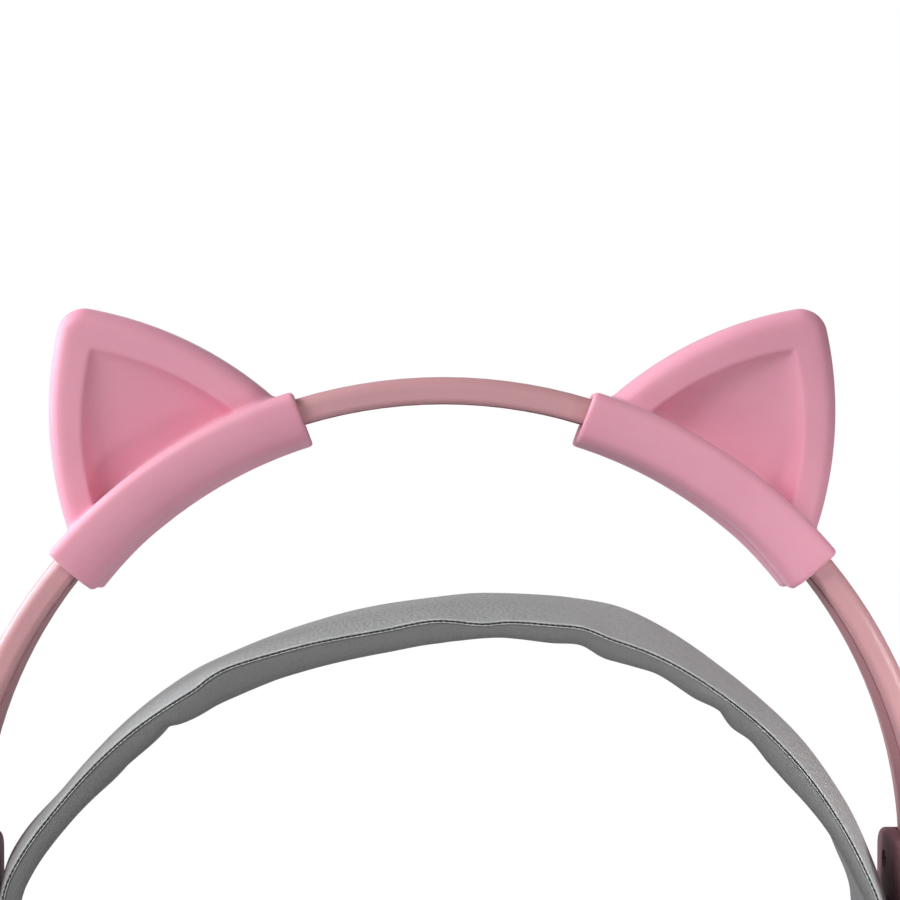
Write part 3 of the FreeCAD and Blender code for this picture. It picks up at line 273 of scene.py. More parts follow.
# -------- materials
class Recipe:
    """A Principled material put together from a few procedural layers."""

    def __init__(self, name, colour, roughness, metallic=0.0, **sockets):
        self.material = bpy.data.materials.new(name)
        self.material.use_nodes = True
        self.nodes = self.material.node_tree.nodes
        self.links = self.material.node_tree.links
        self.shader = self.nodes["Principled BSDF"]
        self.shader.inputs["Base Color"].default_value = (*colour[:3], 1)
        self.shader.inputs["Roughness"].default_value = roughness
        self.shader.inputs["Metallic"].default_value = metallic
        for socket, value in sockets.items():
            self.shader.inputs[socket.replace("_", " ")].default_value = value
        self.place = self.nodes.new("ShaderNodeTexCoord").outputs["Object"]
        self.colour = None
        self.base = colour
        self.normal = None

    def node(self, kind, **settings):
        made = self.nodes.new(kind)
        for key, value in settings.items():
            setattr(made, key, value)
        return made

    def feed(self, node, socket, value):
        """Sets a socket, or links it where the value is another node's output."""
        if isinstance(value, bpy.types.NodeSocket):
            self.links.new(value, node.inputs[socket])
        else:
            node.inputs[socket].default_value = value

    def stretched(self, scale):
        """The piece's own coordinates, scaled along each axis."""
        mapping = self.node("ShaderNodeMapping")
        mapping.inputs["Scale"].default_value = scale
        self.links.new(self.place, mapping.inputs["Vector"])
        return mapping.outputs["Vector"]

    def noise(self, size_mm, detail=3.0, roughness=0.55, vector=None):
        """Cloudy noise with features of about this size."""
        made = self.node("ShaderNodeTexNoise")
        self.feed(made, "Vector", vector or self.place)
        made.inputs["Scale"].default_value = 1 / (size_mm * MM)
        made.inputs["Detail"].default_value = detail
        made.inputs["Roughness"].default_value = roughness
        return made.outputs["Fac"]

    def cells(self, size_mm, feature="F1", vector=None, randomness=1.0):
        """Voronoi cells of about this size."""
        made = self.node("ShaderNodeTexVoronoi", feature=feature)
        self.feed(made, "Vector", vector or self.place)
        made.inputs["Scale"].default_value = 1 / (size_mm * MM)
        made.inputs["Randomness"].default_value = randomness
        return made.outputs["Distance"]

    def weave(self, size_mm, vector=None, axis="X"):
        """Even bands across one axis."""
        made = self.node("ShaderNodeTexWave", wave_type="BANDS", bands_direction=axis)
        self.feed(made, "Vector", vector or self.place)
        made.inputs["Scale"].default_value = 0.314 / (size_mm * MM)
        return made.outputs["Fac"]

    def math(self, operation, a, b=0.0):
        made = self.node("ShaderNodeMath", operation=operation)
        self.feed(made, 0, a)
        self.feed(made, 1, b)
        return made.outputs[0]

    def ranged(self, value, low, high, to_low=0.0, to_high=1.0):
        made = self.node("ShaderNodeMapRange")
        for socket, given in zip(("Value", "From Min", "From Max", "To Min", "To Max"),
                                 (value, low, high, to_low, to_high)):
            self.feed(made, socket, given)
        return made.outputs[0]

    def tint(self, factor, colour):
        """Lays another colour over the base."""
        made = self.node("ShaderNodeMix", data_type="RGBA")
        self.feed(made, "Factor", factor)
        self.feed(made, "A", self.colour or (*self.base[:3], 1))
        self.feed(made, "B", (*colour, 1))
        self.colour = made.outputs["Result"]
        self.links.new(self.colour, self.shader.inputs["Base Color"])

    def gloss(self, factor, low, high):
        """Roughness that wanders between two values."""
        self.links.new(self.ranged(factor, 0.3, 0.7, low, high), self.shader.inputs["Roughness"])

    def soft_edges(self, radius_mm=0.25):
        """Small rounding that catches the light along hard edges."""
        made = self.node("ShaderNodeBevel", samples=4)
        made.inputs["Radius"].default_value = radius_mm * MM
        self.normal = made.outputs["Normal"]
        self.links.new(self.normal, self.shader.inputs["Normal"])

    def edge_mask(self, radius_mm=0.7):
        """1 along convex and concave edges, 0 on open faces."""
        wide = self.node("ShaderNodeBevel", samples=4)
        wide.inputs["Radius"].default_value = radius_mm * MM
        true = self.node("ShaderNodeNewGeometry").outputs["Normal"]
        dot = self.node("ShaderNodeVectorMath", operation="DOT_PRODUCT")
        self.links.new(wide.outputs["Normal"], dot.inputs[0])
        self.links.new(true, dot.inputs[1])
        return self.ranged(dot.outputs["Value"], 0.98, 0.80)

    def bump(self, height, depth_mm, strength=1.0):
        made = self.node("ShaderNodeBump")
        made.inputs["Strength"].default_value = strength
        made.inputs["Distance"].default_value = depth_mm * MM
        self.feed(made, "Height", height)
        if self.normal:
            self.links.new(self.normal, made.inputs["Normal"])
        self.normal = made.outputs["Normal"]
        self.links.new(self.normal, self.shader.inputs["Normal"])


def satin_paint(name, colour, dark, roughness=0.36):
    """Satin lacquer over plastic: faint orange peel, dust specks and worn edges."""
    r = Recipe(name, colour, roughness, Coat_Weight=0.22, Coat_Roughness=0.28)
    r.soft_edges(0.3)
    r.tint(r.ranged(r.noise(22, 4), 0.35, 0.75, 0, 0.30), dark)
    r.tint(r.ranged(r.noise(0.5, 2), 0.62, 0.78, 0, 0.10), (0.95, 0.86, 0.86))
    worn = r.math("MULTIPLY", r.edge_mask(0.5), r.ranged(r.noise(3, 4), 0.50, 0.68))
    r.tint(r.math("MULTIPLY", worn, 0.35), (0.93, 0.76, 0.74))
    r.gloss(r.noise(9, 4), roughness - 0.05, roughness + 0.09)
    r.bump(r.noise(0.9, 2), 0.015, 0.6)
    return r.material


def moulded(name, colour, light, roughness=0.55, grain_mm=0.35, depth_mm=0.02):
    """Moulded plastic with fine spark texture and rubbed edges."""
    r = Recipe(name, colour, roughness)
    r.soft_edges(0.22)
    r.tint(r.ranged(r.noise(14, 4), 0.4, 0.7, 0, 0.30), [c * 0.82 for c in colour])
    rubbed = r.math("MULTIPLY", r.edge_mask(0.6), r.ranged(r.noise(2.2, 4), 0.42, 0.62))
    r.tint(r.math("MULTIPLY", rubbed, 0.5), light)
    r.gloss(r.noise(6, 4), roughness - 0.08, roughness + 0.08)
    r.bump(r.noise(grain_mm, 2), depth_mm, 0.7)
    return r.material


def silicone(name):
    """Matte silicone: powdery surface, faint mould blush and a few dust specks."""
    r = Recipe(name, (0.81, 0.36, 0.47), 0.56, Subsurface_Weight=0.22, Subsurface_Scale=0.0035,
               Subsurface_Radius=(1.0, 0.42, 0.40), Sheen_Weight=0.22, Sheen_Roughness=0.45)
    r.shader.inputs["Sheen Tint"].default_value = (1.0, 0.80, 0.88, 1)
    r.tint(r.ranged(r.noise(16, 3), 0.38, 0.72, 0, 0.25), (0.72, 0.27, 0.38))
    r.tint(r.ranged(r.noise(0.35, 2), 0.66, 0.80, 0, 0.16), (0.93, 0.66, 0.74))
    r.gloss(r.noise(7, 4), 0.50, 0.62)
    r.bump(r.noise(0.22, 3), 0.012, 0.6)
    r.bump(r.noise(6, 2), 0.08, 0.35)
    return r.material


def leather(name, colour, grain_mm=0.55, depth_mm=0.07, roughness=0.52, wrinkle=0.35):
    """Artificial leather: pebbled grain, finer pores and soft wrinkles that run across."""
    r = Recipe(name, colour, roughness, Sheen_Weight=0.12, Sheen_Roughness=0.5)
    pebble = r.cells(grain_mm, "SMOOTH_F1", r.stretched((1.25, 1.0, 1.0)))
    pores = r.noise(grain_mm * 0.4, 3)
    creases = r.noise(3.2, 4, 0.6, r.stretched((2.2, 0.7, 1.4)))
    r.tint(r.ranged(pebble, 0.40, 0.70, 0, 0.34), [c * 0.66 for c in colour])
    r.tint(r.ranged(r.noise(18, 4), 0.40, 0.72, 0, 0.25), [c * 0.84 for c in colour])
    r.tint(r.ranged(creases, 0.60, 0.75, 0, 0.18), [min(1, c * 1.3) for c in colour])
    r.gloss(r.noise(5, 4), roughness - 0.07, roughness + 0.09)
    r.bump(creases, 0.25, wrinkle)
    r.bump(pebble, -depth_mm, 0.8)
    r.bump(pores, depth_mm * 0.35, 0.5)
    return r.material


def brushed(name, colour, roughness=0.32, along=(30, 30, 1.5)):
    """Turned or rolled steel with fine directional scratches."""
    r = Recipe(name, colour, roughness, metallic=1.0)
    r.soft_edges(0.12)
    scratch = r.noise(6, 4, 0.7, r.stretched(along))
    r.tint(r.ranged(scratch, 0.4, 0.7, 0, 0.35), [c * 0.72 for c in colour])
    r.gloss(scratch, roughness - 0.08, roughness + 0.14)
    r.bump(scratch, 0.01, 0.5)
    return r.material


def cloth(name, colour, thread_mm=0.5):
    """Open knit of fine threads."""
    r = Recipe(name, colour, 0.85, Sheen_Weight=0.35, Sheen_Roughness=0.5)
    warp, weft = r.weave(thread_mm, axis="Y"), r.weave(thread_mm, axis="Z")
    knit = r.math("MULTIPLY", warp, weft)
    r.tint(r.ranged(knit, 0.05, 0.6, 0.75, 0), [c * 0.28 for c in colour])
    r.tint(r.ranged(r.noise(9, 3), 0.4, 0.7, 0, 0.3), [min(1, c * 1.25) for c in colour])
    r.bump(knit, 0.12, 0.8)
    return r.material


def foam_stuff(name, colour):
    """Open-cell foam, with painted shade in its pits."""
    r = Recipe(name, colour, 0.95, Sheen_Weight=0.3)
    pits = r.cells(0.75, "F1")
    # The pits are painted far darker: painted shade in the hollows of the foam.
    r.tint(r.ranged(pits, 0.2, 0.6, 0.8, 0), [c * 0.2 for c in colour])
    r.tint(r.ranged(r.noise(4, 3), 0.4, 0.7, 0, 0.4), [min(1, c * 1.7) for c in colour])
    r.bump(pits, 0.35, 0.8)
    return r.material


def printed_board(name):
    """Green circuit board with lighter tracks."""
    r = Recipe(name, (0.015, 0.12, 0.05), 0.35, Coat_Weight=0.4)
    tracks = r.ranged(r.cells(2.4, "DISTANCE_TO_EDGE", randomness=0.6), 0.04, 0.07, 1, 0)
    r.tint(r.math("MULTIPLY", tracks, 0.6), (0.05, 0.27, 0.11))
    r.tint(r.ranged(r.cells(1.9), 0.10, 0.12, 0.9, 0), (0.62, 0.60, 0.56))
    r.bump(tracks, 0.05, 0.6)
    return r.material


def milky(name, colour):
    """Cloudy light guide."""
    r = Recipe(name, colour, 0.22, Subsurface_Weight=0.6, Subsurface_Scale=0.002, Coat_Weight=0.3)
    r.tint(r.ranged(r.noise(5, 3), 0.4, 0.7, 0, 0.4), (0.90, 0.80, 0.86))
    r.gloss(r.noise(4, 3), 0.26, 0.36)
    return r.material


PINK_DARK = (0.50, 0.235, 0.262)
MAUVE, MAUVE_LIGHT = (0.275, 0.130, 0.153), (0.42, 0.26, 0.29)
# Each finish: its recipe, then its colours and numbers in the order the recipe takes them.
FINISHES = {
    "band_paint": (satin_paint, (0.615, 0.318, 0.345), PINK_DARK),
    "band_trim": (satin_paint, (0.47, 0.185, 0.215), (0.36, 0.13, 0.16), 0.42),
    "spring_steel": (brushed, (0.42, 0.43, 0.45)),
    "ribbon_lead": (moulded, (0.03, 0.03, 0.032), (0.1, 0.1, 0.1)),
    "silicone": (silicone,),
    "strap_leather": (leather, (0.385, 0.401, 0.399), 0.9, 0.34, 0.48, 0.45),
    # The lining's grey is set far darker than the top leather's: painted shade of the padding's walls
    # and underside, which face away from the key light.
    "strap_lining": (leather, (0.150, 0.151, 0.151), 0.5, 0.06, 0.6, 0.3),
    "rivet_steel": (brushed, (0.55, 0.55, 0.56)),
    "mauve_plastic": (moulded, MAUVE, MAUVE_LIGHT),
    "elastic": (cloth, (0.05, 0.048, 0.05), 0.3),
    "screw_steel": (brushed, (0.10, 0.10, 0.11)),
    "yoke_paint": (satin_paint, (0.60, 0.30, 0.315), PINK_DARK, 0.33),
    "pin_steel": (brushed, (0.58, 0.58, 0.60)),
    "cup_plastic": (satin_paint, (0.66, 0.345, 0.385), (0.56, 0.27, 0.31), 0.42),
    "plate_gloss": (satin_paint, (0.77, 0.47, 0.50), (0.66, 0.37, 0.41), 0.22),
    "light_guide": (milky, (0.93, 0.88, 0.92)),
    "board": (printed_board,),
    "baffle_plastic": (moulded, (0.032, 0.030, 0.032), (0.12, 0.12, 0.12)),
    "driver_metal": (brushed, (0.35, 0.35, 0.36)),
    "cone_film": (moulded, (0.52, 0.48, 0.36), (0.7, 0.66, 0.5), 0.25),
    "screen_cloth": (cloth, (0.075, 0.072, 0.075), 0.55),
    "cushion_leather": (leather, (0.33, 0.335, 0.333), 0.85, 0.12, 0.5, 0.5),
    "switch_plastic": (moulded, (0.012, 0.012, 0.013), (0.06, 0.06, 0.06)),
    "socket_plastic": (moulded, (0.015, 0.015, 0.016), (0.08, 0.08, 0.08), 0.4),
    "wheel_plastic": (moulded, MAUVE, MAUVE_LIGHT, 0.6),
    "button_plastic": (moulded, (0.68, 0.28, 0.36), (0.85, 0.55, 0.6), 0.4),
    "mic_plastic": (satin_paint, (0.62, 0.31, 0.345), (0.5, 0.23, 0.27), 0.4),
    "boom_rubber": (moulded, (0.085, 0.038, 0.045), (0.2, 0.12, 0.13), 0.68),
    "capsule_metal": (brushed, (0.62, 0.62, 0.63)),
    "foam": (foam_stuff, (0.022, 0.020, 0.021)),
    "thread": (moulded, (0.03, 0.03, 0.03), (0.05, 0.05, 0.05), 0.7, 0.15, 0.03),
    "seam_edge": (moulded, (0.48, 0.485, 0.48), (0.75, 0.75, 0.75), 0.5, 0.2, 0.02),
}
MATERIALS = {name: recipe(name, *given) for name, (recipe, *given) in FINISHES.items()}

slot_of = {s["node"]: s["material_slot"] for s in frame["record"]["subparts"]}
for node_name, node in frame["nodes"].items():
    node.data.materials.clear()
    node.data.materials.append(MATERIALS[slot_of[node_name]])


# -------- cat ears
EAR_ANGLE = 33.4                      # each ear leans this far from upright
SLEEVE_HALF_ANGLE = 16.4              # the sleeve's reach along the arch, each way
SLEEVE_R_IN, SLEEVE_R_OUT, SLEEVE_HALF_Y = 86.0, 96.0, 11.4
SHOULDER_ROUND, LIP_ROUND, SLEEVE_END_ROUND = 2.0, 2.2, 0.7
WAIST_R, WAIST_SPAN, WAIST = 93.0, 7.0, 2.1    # its sides draw in from this radius inwards
END_LEAN = (-0.07, 0.05)              # slant of its lower and its upper end, from front to rear
END_FLARE = (0.03, 0.075)             # slant of the same ends, from outside to inside
REAR_DROOP = (0.95, 1.0)              # how far the rear lip hangs, on the left and on the right
REAR_FROM, REAR_TO = 1.0, 6.0         # where the rear lip's droop starts, and where it is full
DROOP_LOSS = 0.6                      # share of that droop that is gone at the lower end
END_HANG = 0.8                        # how far the lower end hangs, front and rear
EAR_HALF_Y = 6.4                      # half the ear's thickness
EAR_FOOT = 90.0                       # height of the ear's cut foot, inside the sleeve
EAR_SIDE = ((24.0, 89.0), (17.0, 108.4), (0.0, 129.4))    # foot, middle and tip of the bowed side
EAR_TIP_ROUND, EAR_EDGE_ROUND = 4.7, 3.6
DISH_SIDE = ((16.6, 92.5), (11.6, 105.0), (0.0, 119.6))   # the same for the edge of the hollow
DISH_TOP_DEPTH, DISH_FOOT_EXTRA = 2.2, 2.6
DISH_SHALLOW_FROM, DISH_SHALLOW_TO = 93.0, 115.0
DISH_WALL = 1.5                       # the hollow's wall falls off over this distance
DISH_CORNER_ROUND, DISH_CORNER_REACH, DISH_EDGE_ROUND = 9.0, 6.0, 0.45
SLEEVE_FILLET = 0.9                   # between ear and sleeve
BORE_HALF_Y, BORE_CORNER = 9.35, 0.8  # the passage for the arch
BORE_GAP_OUT, BORE_GAP_IN = 0.3, 0.5
BORE_EDGE_ROUND = 0.25
SLIT_HALF_Y, SLIT_EDGE_ROUND = 1.2, 0.5    # the slit that lets the sleeve be pulled over the arch


def circle_through(points):
    """Centre and radius of the circle through three points."""
    (ax, ay), (bx, by), (cx, cy) = points
    d = 2 * (ax * (by - cy) + bx * (cy - ay) + cx * (ay - by))
    a2, b2, c2 = ax**2 + ay**2, bx**2 + by**2, cx**2 + cy**2
    x = (a2 * (by - cy) + b2 * (cy - ay) + c2 * (ay - by)) / d
    y = (a2 * (cx - bx) + b2 * (ax - cx) + c2 * (bx - ax)) / d
    return x, y, math.hypot(ax - x, ay - y)


def bowed(points, u, v):
    """Signed distances to the two mirrored sides of a bowed triangle."""
    x, y, radius = circle_through(points)
    return np.hypot(u - x, v - y) - radius, np.hypot(-u - x, v - y) - radius


def sleeve_field(droop, apex, u, y, v):
    """Sleeve round the arch. Its rear lip hangs lower than the front one by the droop.

    The apex, 1 or -1, is the end of the sleeve that is nearer the top of the headband. That end is
    cut back towards the rear, and the lower one runs out there and hangs a little.
    """
    r = np.hypot(u, v)
    along = np.abs(np.arctan2(u, v)) * ARCH_R - math.radians(SLEEVE_HALF_ANGLE) * ARCH_R
    down = -u * apex
    along = along + np.where(down > 0, *END_LEAN) * (y + SLEEVE_HALF_Y)
    along = along - np.where(down > 0, *END_FLARE) * (SLEEVE_R_OUT - r)
    hang = droop * eased(y, REAR_FROM, REAR_TO) * (1 - DROOP_LOSS * eased(down, 8.0, 24.0))
    hang = hang + END_HANG * eased(down, 10.0, 25.0)
    waist = SLEEVE_HALF_Y - WAIST * np.clip((WAIST_R - r) / WAIST_SPAN, 0, 1.3) ** 2
    sleeve = round_max(r - SLEEVE_R_OUT, np.abs(y) - waist, SHOULDER_ROUND)
    sleeve = round_max(sleeve, SLEEVE_R_IN - hang - r, LIP_ROUND)
    return round_max(sleeve, along, SLEEVE_END_ROUND)


def plate_field(u, y, v):
    """The ear itself: a bowed triangle with a hollow in front that is deepest at its foot."""
    side_a, side_b = bowed(EAR_SIDE, u, v)
    plate = round_max(side_a, side_b, EAR_TIP_ROUND)
    plate = round_max(plate, np.abs(y) - EAR_HALF_Y, EAR_EDGE_ROUND)
    dish_a, dish_b = bowed(DISH_SIDE, u, v)
    sharp = -np.maximum(dish_a, dish_b)
    softened = -round_max(dish_a, dish_b, DISH_CORNER_ROUND)
    inward = sharp + (softened - sharp) * eased(sharp, 0.0, DISH_CORNER_REACH)
    floor = DISH_TOP_DEPTH + DISH_FOOT_EXTRA * (1 - eased(v, DISH_SHALLOW_FROM, DISH_SHALLOW_TO))
    depth = floor * (1 - np.exp(-np.maximum(inward, 0) / DISH_WALL))
    hollow = -EAR_HALF_Y + depth - y
    plate = round_max(plate, np.where(inward > 0, hollow, -EAR_HALF_Y - y), DISH_EDGE_ROUND)
    return np.maximum(plate, EAR_FOOT - v)


def ear_field(droop, apex, u, y, v):
    """Distance field of one upright ear; u runs along the arch and v away from its centre."""
    r = np.hypot(u, v)
    both = round_min(sleeve_field(droop, apex, u, y, v), plate_field(u, y, v), SLEEVE_FILLET)
    passage = np.maximum(r - ARCH_R - BORE_GAP_OUT, ARCH_R - ARCH_T - BORE_GAP_IN - r)
    bore = round_max(passage, np.abs(y) - BORE_HALF_Y, BORE_CORNER)
    slit = np.maximum(r - ARCH_R + ARCH_T, np.abs(y) - SLIT_HALF_Y)
    both = round_max(both, -bore, BORE_EDGE_ROUND)
    return round_max(both, -slit, SLIT_EDGE_ROUND)


def cat_ears():
    """The two silicone ears: mirror images, apart from how far the rear lip droops."""
    step = 0.5
    lowest, highest = (-29.5, -12.5, 79.0), (29.5, 12.5, 129.5)
    for (side, sign), droop in zip(SIDES, REAR_DROOP):
        points, faces = surface(
            lambda u, y, v: ear_field(droop, -sign, u, y, v), lowest, highest, step
        )
        turn = math.radians(sign * EAR_ANGLE)
        u, y, v = points.T
        placed = np.stack([
            u * math.cos(turn) + v * math.sin(turn), y,
            CENTRE_Z + v * math.cos(turn) - u * math.sin(turn),
        ], -1)
        ear = make(f"ear_cover_{side}", placed, faces, f"ear_{side}", "silicone")
        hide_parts(f"cat_ear_{side}")


# -------- suspension strap
TAIL_X, TAIL_TOP, TAIL_BOTTOM = 84.0, -7.0, -25.0
STRAP_HALF_Y, STRAP_END_HALF_Y = 19.0, 11.0
TAPER_FROM, TAPER_TO = 46, 76         # it narrows between these places along the strap
# Outer line of the strap, (x, height over the arch's centre).
STRAP_LINE = [
    (-TAIL_X, TAIL_BOTTOM), (-TAIL_X, TAIL_BOTTOM + 6), (-TAIL_X, TAIL_TOP - 5),
    (-83.9, TAIL_TOP + 2), (-82.0, 2.5), (-75.6, 12.4), (-60.5, 29.2), (-46.4, 39.2),
    (-25.7, 47.1), (0.0, 51.7), (20.0, 51.8), (34.6, 49.4), (46.3, 44.0), (58.4, 35.0),
    (68.9, 23.8), (76.4, 12.4), (81.4, 2.0), (83.8, TAIL_TOP + 2), (TAIL_X, TAIL_TOP - 5),
    (TAIL_X, TAIL_BOTTOM + 6), (TAIL_X, TAIL_BOTTOM),
]
# Depth of the front and back seams below the outer line, and the height of the front wall, at
# places along the strap: x over the head, and on down the tails past +-84.
FRONT_SEAM = [(-102, 0.5), (-92, 0.6), (-84, 1.1), (-70, 1.1), (-55, 1.5), (-46.5, 1.3), (-43, 0.5),
              (-40, 0.2), (-36, 0.4), (-31, 0.7), (-26, 0.85), (-12, 1.2), (-2, 0.8), (6.5, 2.0),
              (12, 1.7), (20, 1.9), (25.6, 2.0), (32, 3.2), (42, 3.4),
              (60, 3.1), (84, 1.6), (92, 0.6), (102, 0.5)]
BACK_SEAM = [(-102, 0.5), (-92, 0.2), (-84, -0.9), (-75, 0.8), (-60, 1.9), (-30, 1.8), (0, 1.6),
             (20, 0.9), (34, -0.2), (45, -0.1), (60, 0.2), (84, 0.6), (92, 0.5), (102, 0.5)]
WALL = [(-102, 2.3), (-92, 2.4), (-84, 3.9), (-75, 4.0), (-70, 4.4), (-66.5, 4.7), (-64, 4.7),
        (-59, 4.7), (-56, 4.3), (-53.6, 3.7), (-51.4, 4.5), (-48.6, 5.0), (-45.5, 5.2),
        (-43, 5.7), (-40, 6.0), (-36, 5.7), (-31.7, 5.3), (-27, 5.15), (-13, 4.7), (-2, 4.75),
        (1, 4.3), (7, 3.2), (13, 3.6), (20, 3.9), (25.8, 3.7), (29.5, 4.3), (33, 4.2),
        (37.6, 3.9), (42, 3.5), (49.5, 3.9), (54.5, 3.2), (57.8, 4.2), (61.5, 3.8), (65, 4.4),
        (67.5, 4.5), (70, 4.4), (73, 3.9), (76, 3.4), (84, 2.8), (92, 2.3), (102, 2.3)]
# The leather lies this much lower, from the middle to the rear, than the outer line.
SAG = [(-102, 0), (-88, -0.9), (-80, -0.7), (-72, 0), (-34, 0), (-25, -0.2), (-16, -0.45),
       (-4, -0.5), (10, -0.4), (17.7, -0.2), (23, 0), (29, 0.45), (36, 0.65), (46, 0.7),
       (51, 0.65), (59, 0.35), (63, 0), (67, -0.45), (72, -0.8), (78, -1.1), (84, -0.8),
       (92, -0.3), (102, 0)]


def strap_stations(count):
    """(place, inward direction, half width, way along) at even steps along the strap."""
    knots = [Vector((x, 0, CENTRE_Z + z)) for x, z in STRAP_LINE]
    marks = marks_along(knots)
    xs = [(m, k.x) for m, k in zip(marks, knots)]
    zs = [(m, k.z) for m, k in zip(marks, knots)]
    spots = np.linspace(0, marks[-1], count)
    places = [Vector((through(xs, m), 0, through(zs, m))) for m in spots]
    stations = []
    for i, place in enumerate(places):
        along = (places[min(i + 1, count - 1)] - places[max(i - 1, 0)]).normalized()
        inward = Vector((along.z, 0, -along.x))
        narrowed = float(eased(abs(place.x), TAPER_FROM, TAPER_TO))
        half = STRAP_HALF_Y + (STRAP_END_HALF_Y - STRAP_HALF_Y) * narrowed
        below = max(0.0, CENTRE_Z + TAIL_TOP - place.z)
        stations.append((place, inward, half, place.x + math.copysign(below, place.x)))
    return stations


def in_tail(place):
    """0 over the head, 1 in the straight ends that hang into the side housings."""
    return float(eased(CENTRE_Z + 6 - place.z, 0, 10))


def seam_depths(x):
    """Depth of the front and back seams below the outer line."""
    return through(FRONT_SEAM, x), through(BACK_SEAM, x) + through(SAG, x)


# Soft folds of the top: from and to along the strap, place across it, drift, width and depth.
FOLDS = [(18, 66, 0.30, 0.5, 0.09, 0.55), (20, 60, 0.05, 0.55, 0.08, 0.40),
         (-40, -6, 0.20, -0.3, 0.10, 0.22), (-74, -48, -0.05, 0.35, 0.12, 0.22),
         (40, 78, -0.2, 0.5, 0.09, 0.22)]
# The crown's middle lies this far below the outer line, and a higher fullness makes it flatter.
CROWN_DEPTH, CROWN_FULLNESS = 0.02, 2.3


def top_depth(x, across):
    """Depth of the crowned leather at a place across the strap, from -1 in front to 1 behind."""
    front, back = seam_depths(x)
    level = front + (back - front) * (across + 1) / 2
    middle = CROWN_DEPTH + through(SAG, x)
    crown = 1 - abs(across) ** CROWN_FULLNESS
    straight = (front + back) / 2
    fold = 0.0
    for start, end, ridge, drift, width, height in FOLDS:
        if start < x < end:
            share = (x - start) / (end - start)
            centre = ridge + drift * share
            fold += height * math.exp(-((across - centre) / width) ** 2) * math.sin(math.pi * share)
    return level + (middle - straight) * crown + fold


def strap_top(stations):
    """Crowned leather upper layer with its edges rolled under."""
    across = [math.sin(math.pi / 2 * t) for t in np.linspace(-1, 1, 33)]
    points = []
    for place, inward, half, x in stations:
        front, back = seam_depths(x)
        ring = [(a * (half + 0.15), top_depth(x, a)) for a in across]
        ring += [(half + 0.25, back + 0.25), (half + 0.1, back + 0.45), (half - 1.2, back + 0.5),
                 (0, (front + back) / 2 + 0.5), (-half + 1.2, front + 0.5),
                 (-half - 0.1, front + 0.45), (-half - 0.25, front + 0.25)]
        points += [place + inward * d + Vector((0, y, 0)) for y, d in ring]
    return points, capped_grid(len(stations), len(ring))


WALL_BULGE, UNDER_SWELL = 0.22, 0.35   # of the padding's stitched walls and of its underside


def strap_pad(stations):
    """Lower layer: straight stitched walls and a soft underside that swells between them."""
    points = []
    for place, inward, half, x in stations:
        front, back = seam_depths(x)
        wall = through(WALL, x)
        back_wall = through(WALL, -x)
        quilt = 0.14 * math.sin(x * 0.55) + 0.1 * math.sin(x * 0.23 + 1)
        ring = [(-half + 0.3, front + 0.55), (-half - 0.05, front + 0.75)]
        for t in (0.25, 0.5, 0.75):
            bulge = WALL_BULGE * math.sin(math.pi * t)
            ring.append((-half - 0.05 - bulge, front + 0.75 + (wall - 1.3) * t))
        ring += [(-half + 0.05, front + wall - 0.35), (-half + 0.45, front + wall - 0.02)]
        for t in np.linspace(-0.88, 0.88, 15):
            edge = front + wall + (back + back_wall - front - wall) * (t + 1) / 2
            swell = (1 - abs(t) ** 3) * (UNDER_SWELL + quilt) * (1 - in_tail(place))
            ring.append((t * half, edge + swell))
        ring += [(half - 0.45, back + back_wall - 0.02), (half - 0.05, back + back_wall - 0.35)]
        for t in (0.75, 0.5, 0.25):
            bulge = WALL_BULGE * math.sin(math.pi * t)
            ring.append((half + 0.05 + bulge, back + 0.75 + (back_wall - 1.3) * t))
        ring += [(half + 0.05, back + 0.75), (half - 0.3, back + 0.55)]
        ring += [(t * half, back + 0.55 + (front - back) * (1 - t) / 2) for t in (0.5, 0, -0.5)]
        points += [place + inward * d + Vector((0, y, 0)) for y, d in ring]
    return points, flipped(capped_grid(len(stations), len(ring)))


STITCH, STITCH_GAP = 0.62, 0.45        # visible length of a stitch, and the space to the next
FIRST_STITCH = 0.5                     # space before the first one
STITCH_TAPER = (0.45, 1.0, 1.0, 0.45)  # its ends dip into the leather
FINE_STEP = 0.1                        # step in which a path is walked
SEAM_REACH = 6                         # the seams run down to this far below the arch's centre
BEAD_R, THREAD_R = 0.11, 0.17          # rolled edges beside the seam, and its thread


def seam_path(stations, sign, lift, out):
    """The line of a seam, offset along the depth and out of the strap's edge."""
    path = []
    for place, inward, half, x in stations:
        front, back = seam_depths(x)
        depth = (front if sign < 0 else back) + 0.5 + lift
        path.append(place + inward * depth + Vector((0, sign * (half + out), 0)))
    return path


def stitches(path, radius, length=STITCH, gap=STITCH_GAP):
    """Short threads laid end to end along a path."""
    parts = []
    here = [path[0]]
    for a, b in zip(path, path[1:]):
        steps = max(1, int((b - a).length / FINE_STEP))
        here += [a.lerp(b, (k + 1) / steps) for k in range(steps)]
    marks = marks_along(here)
    at = FIRST_STITCH
    while at + length < marks[-1]:
        spots = [here[int(np.searchsorted(marks, at + length * t))] for t in (0.0, 0.25, 0.75, 1.0)]
        parts.append(tube(spots, lambda i: radius * STITCH_TAPER[i], 6))
        at += length + gap
    return joined(parts)


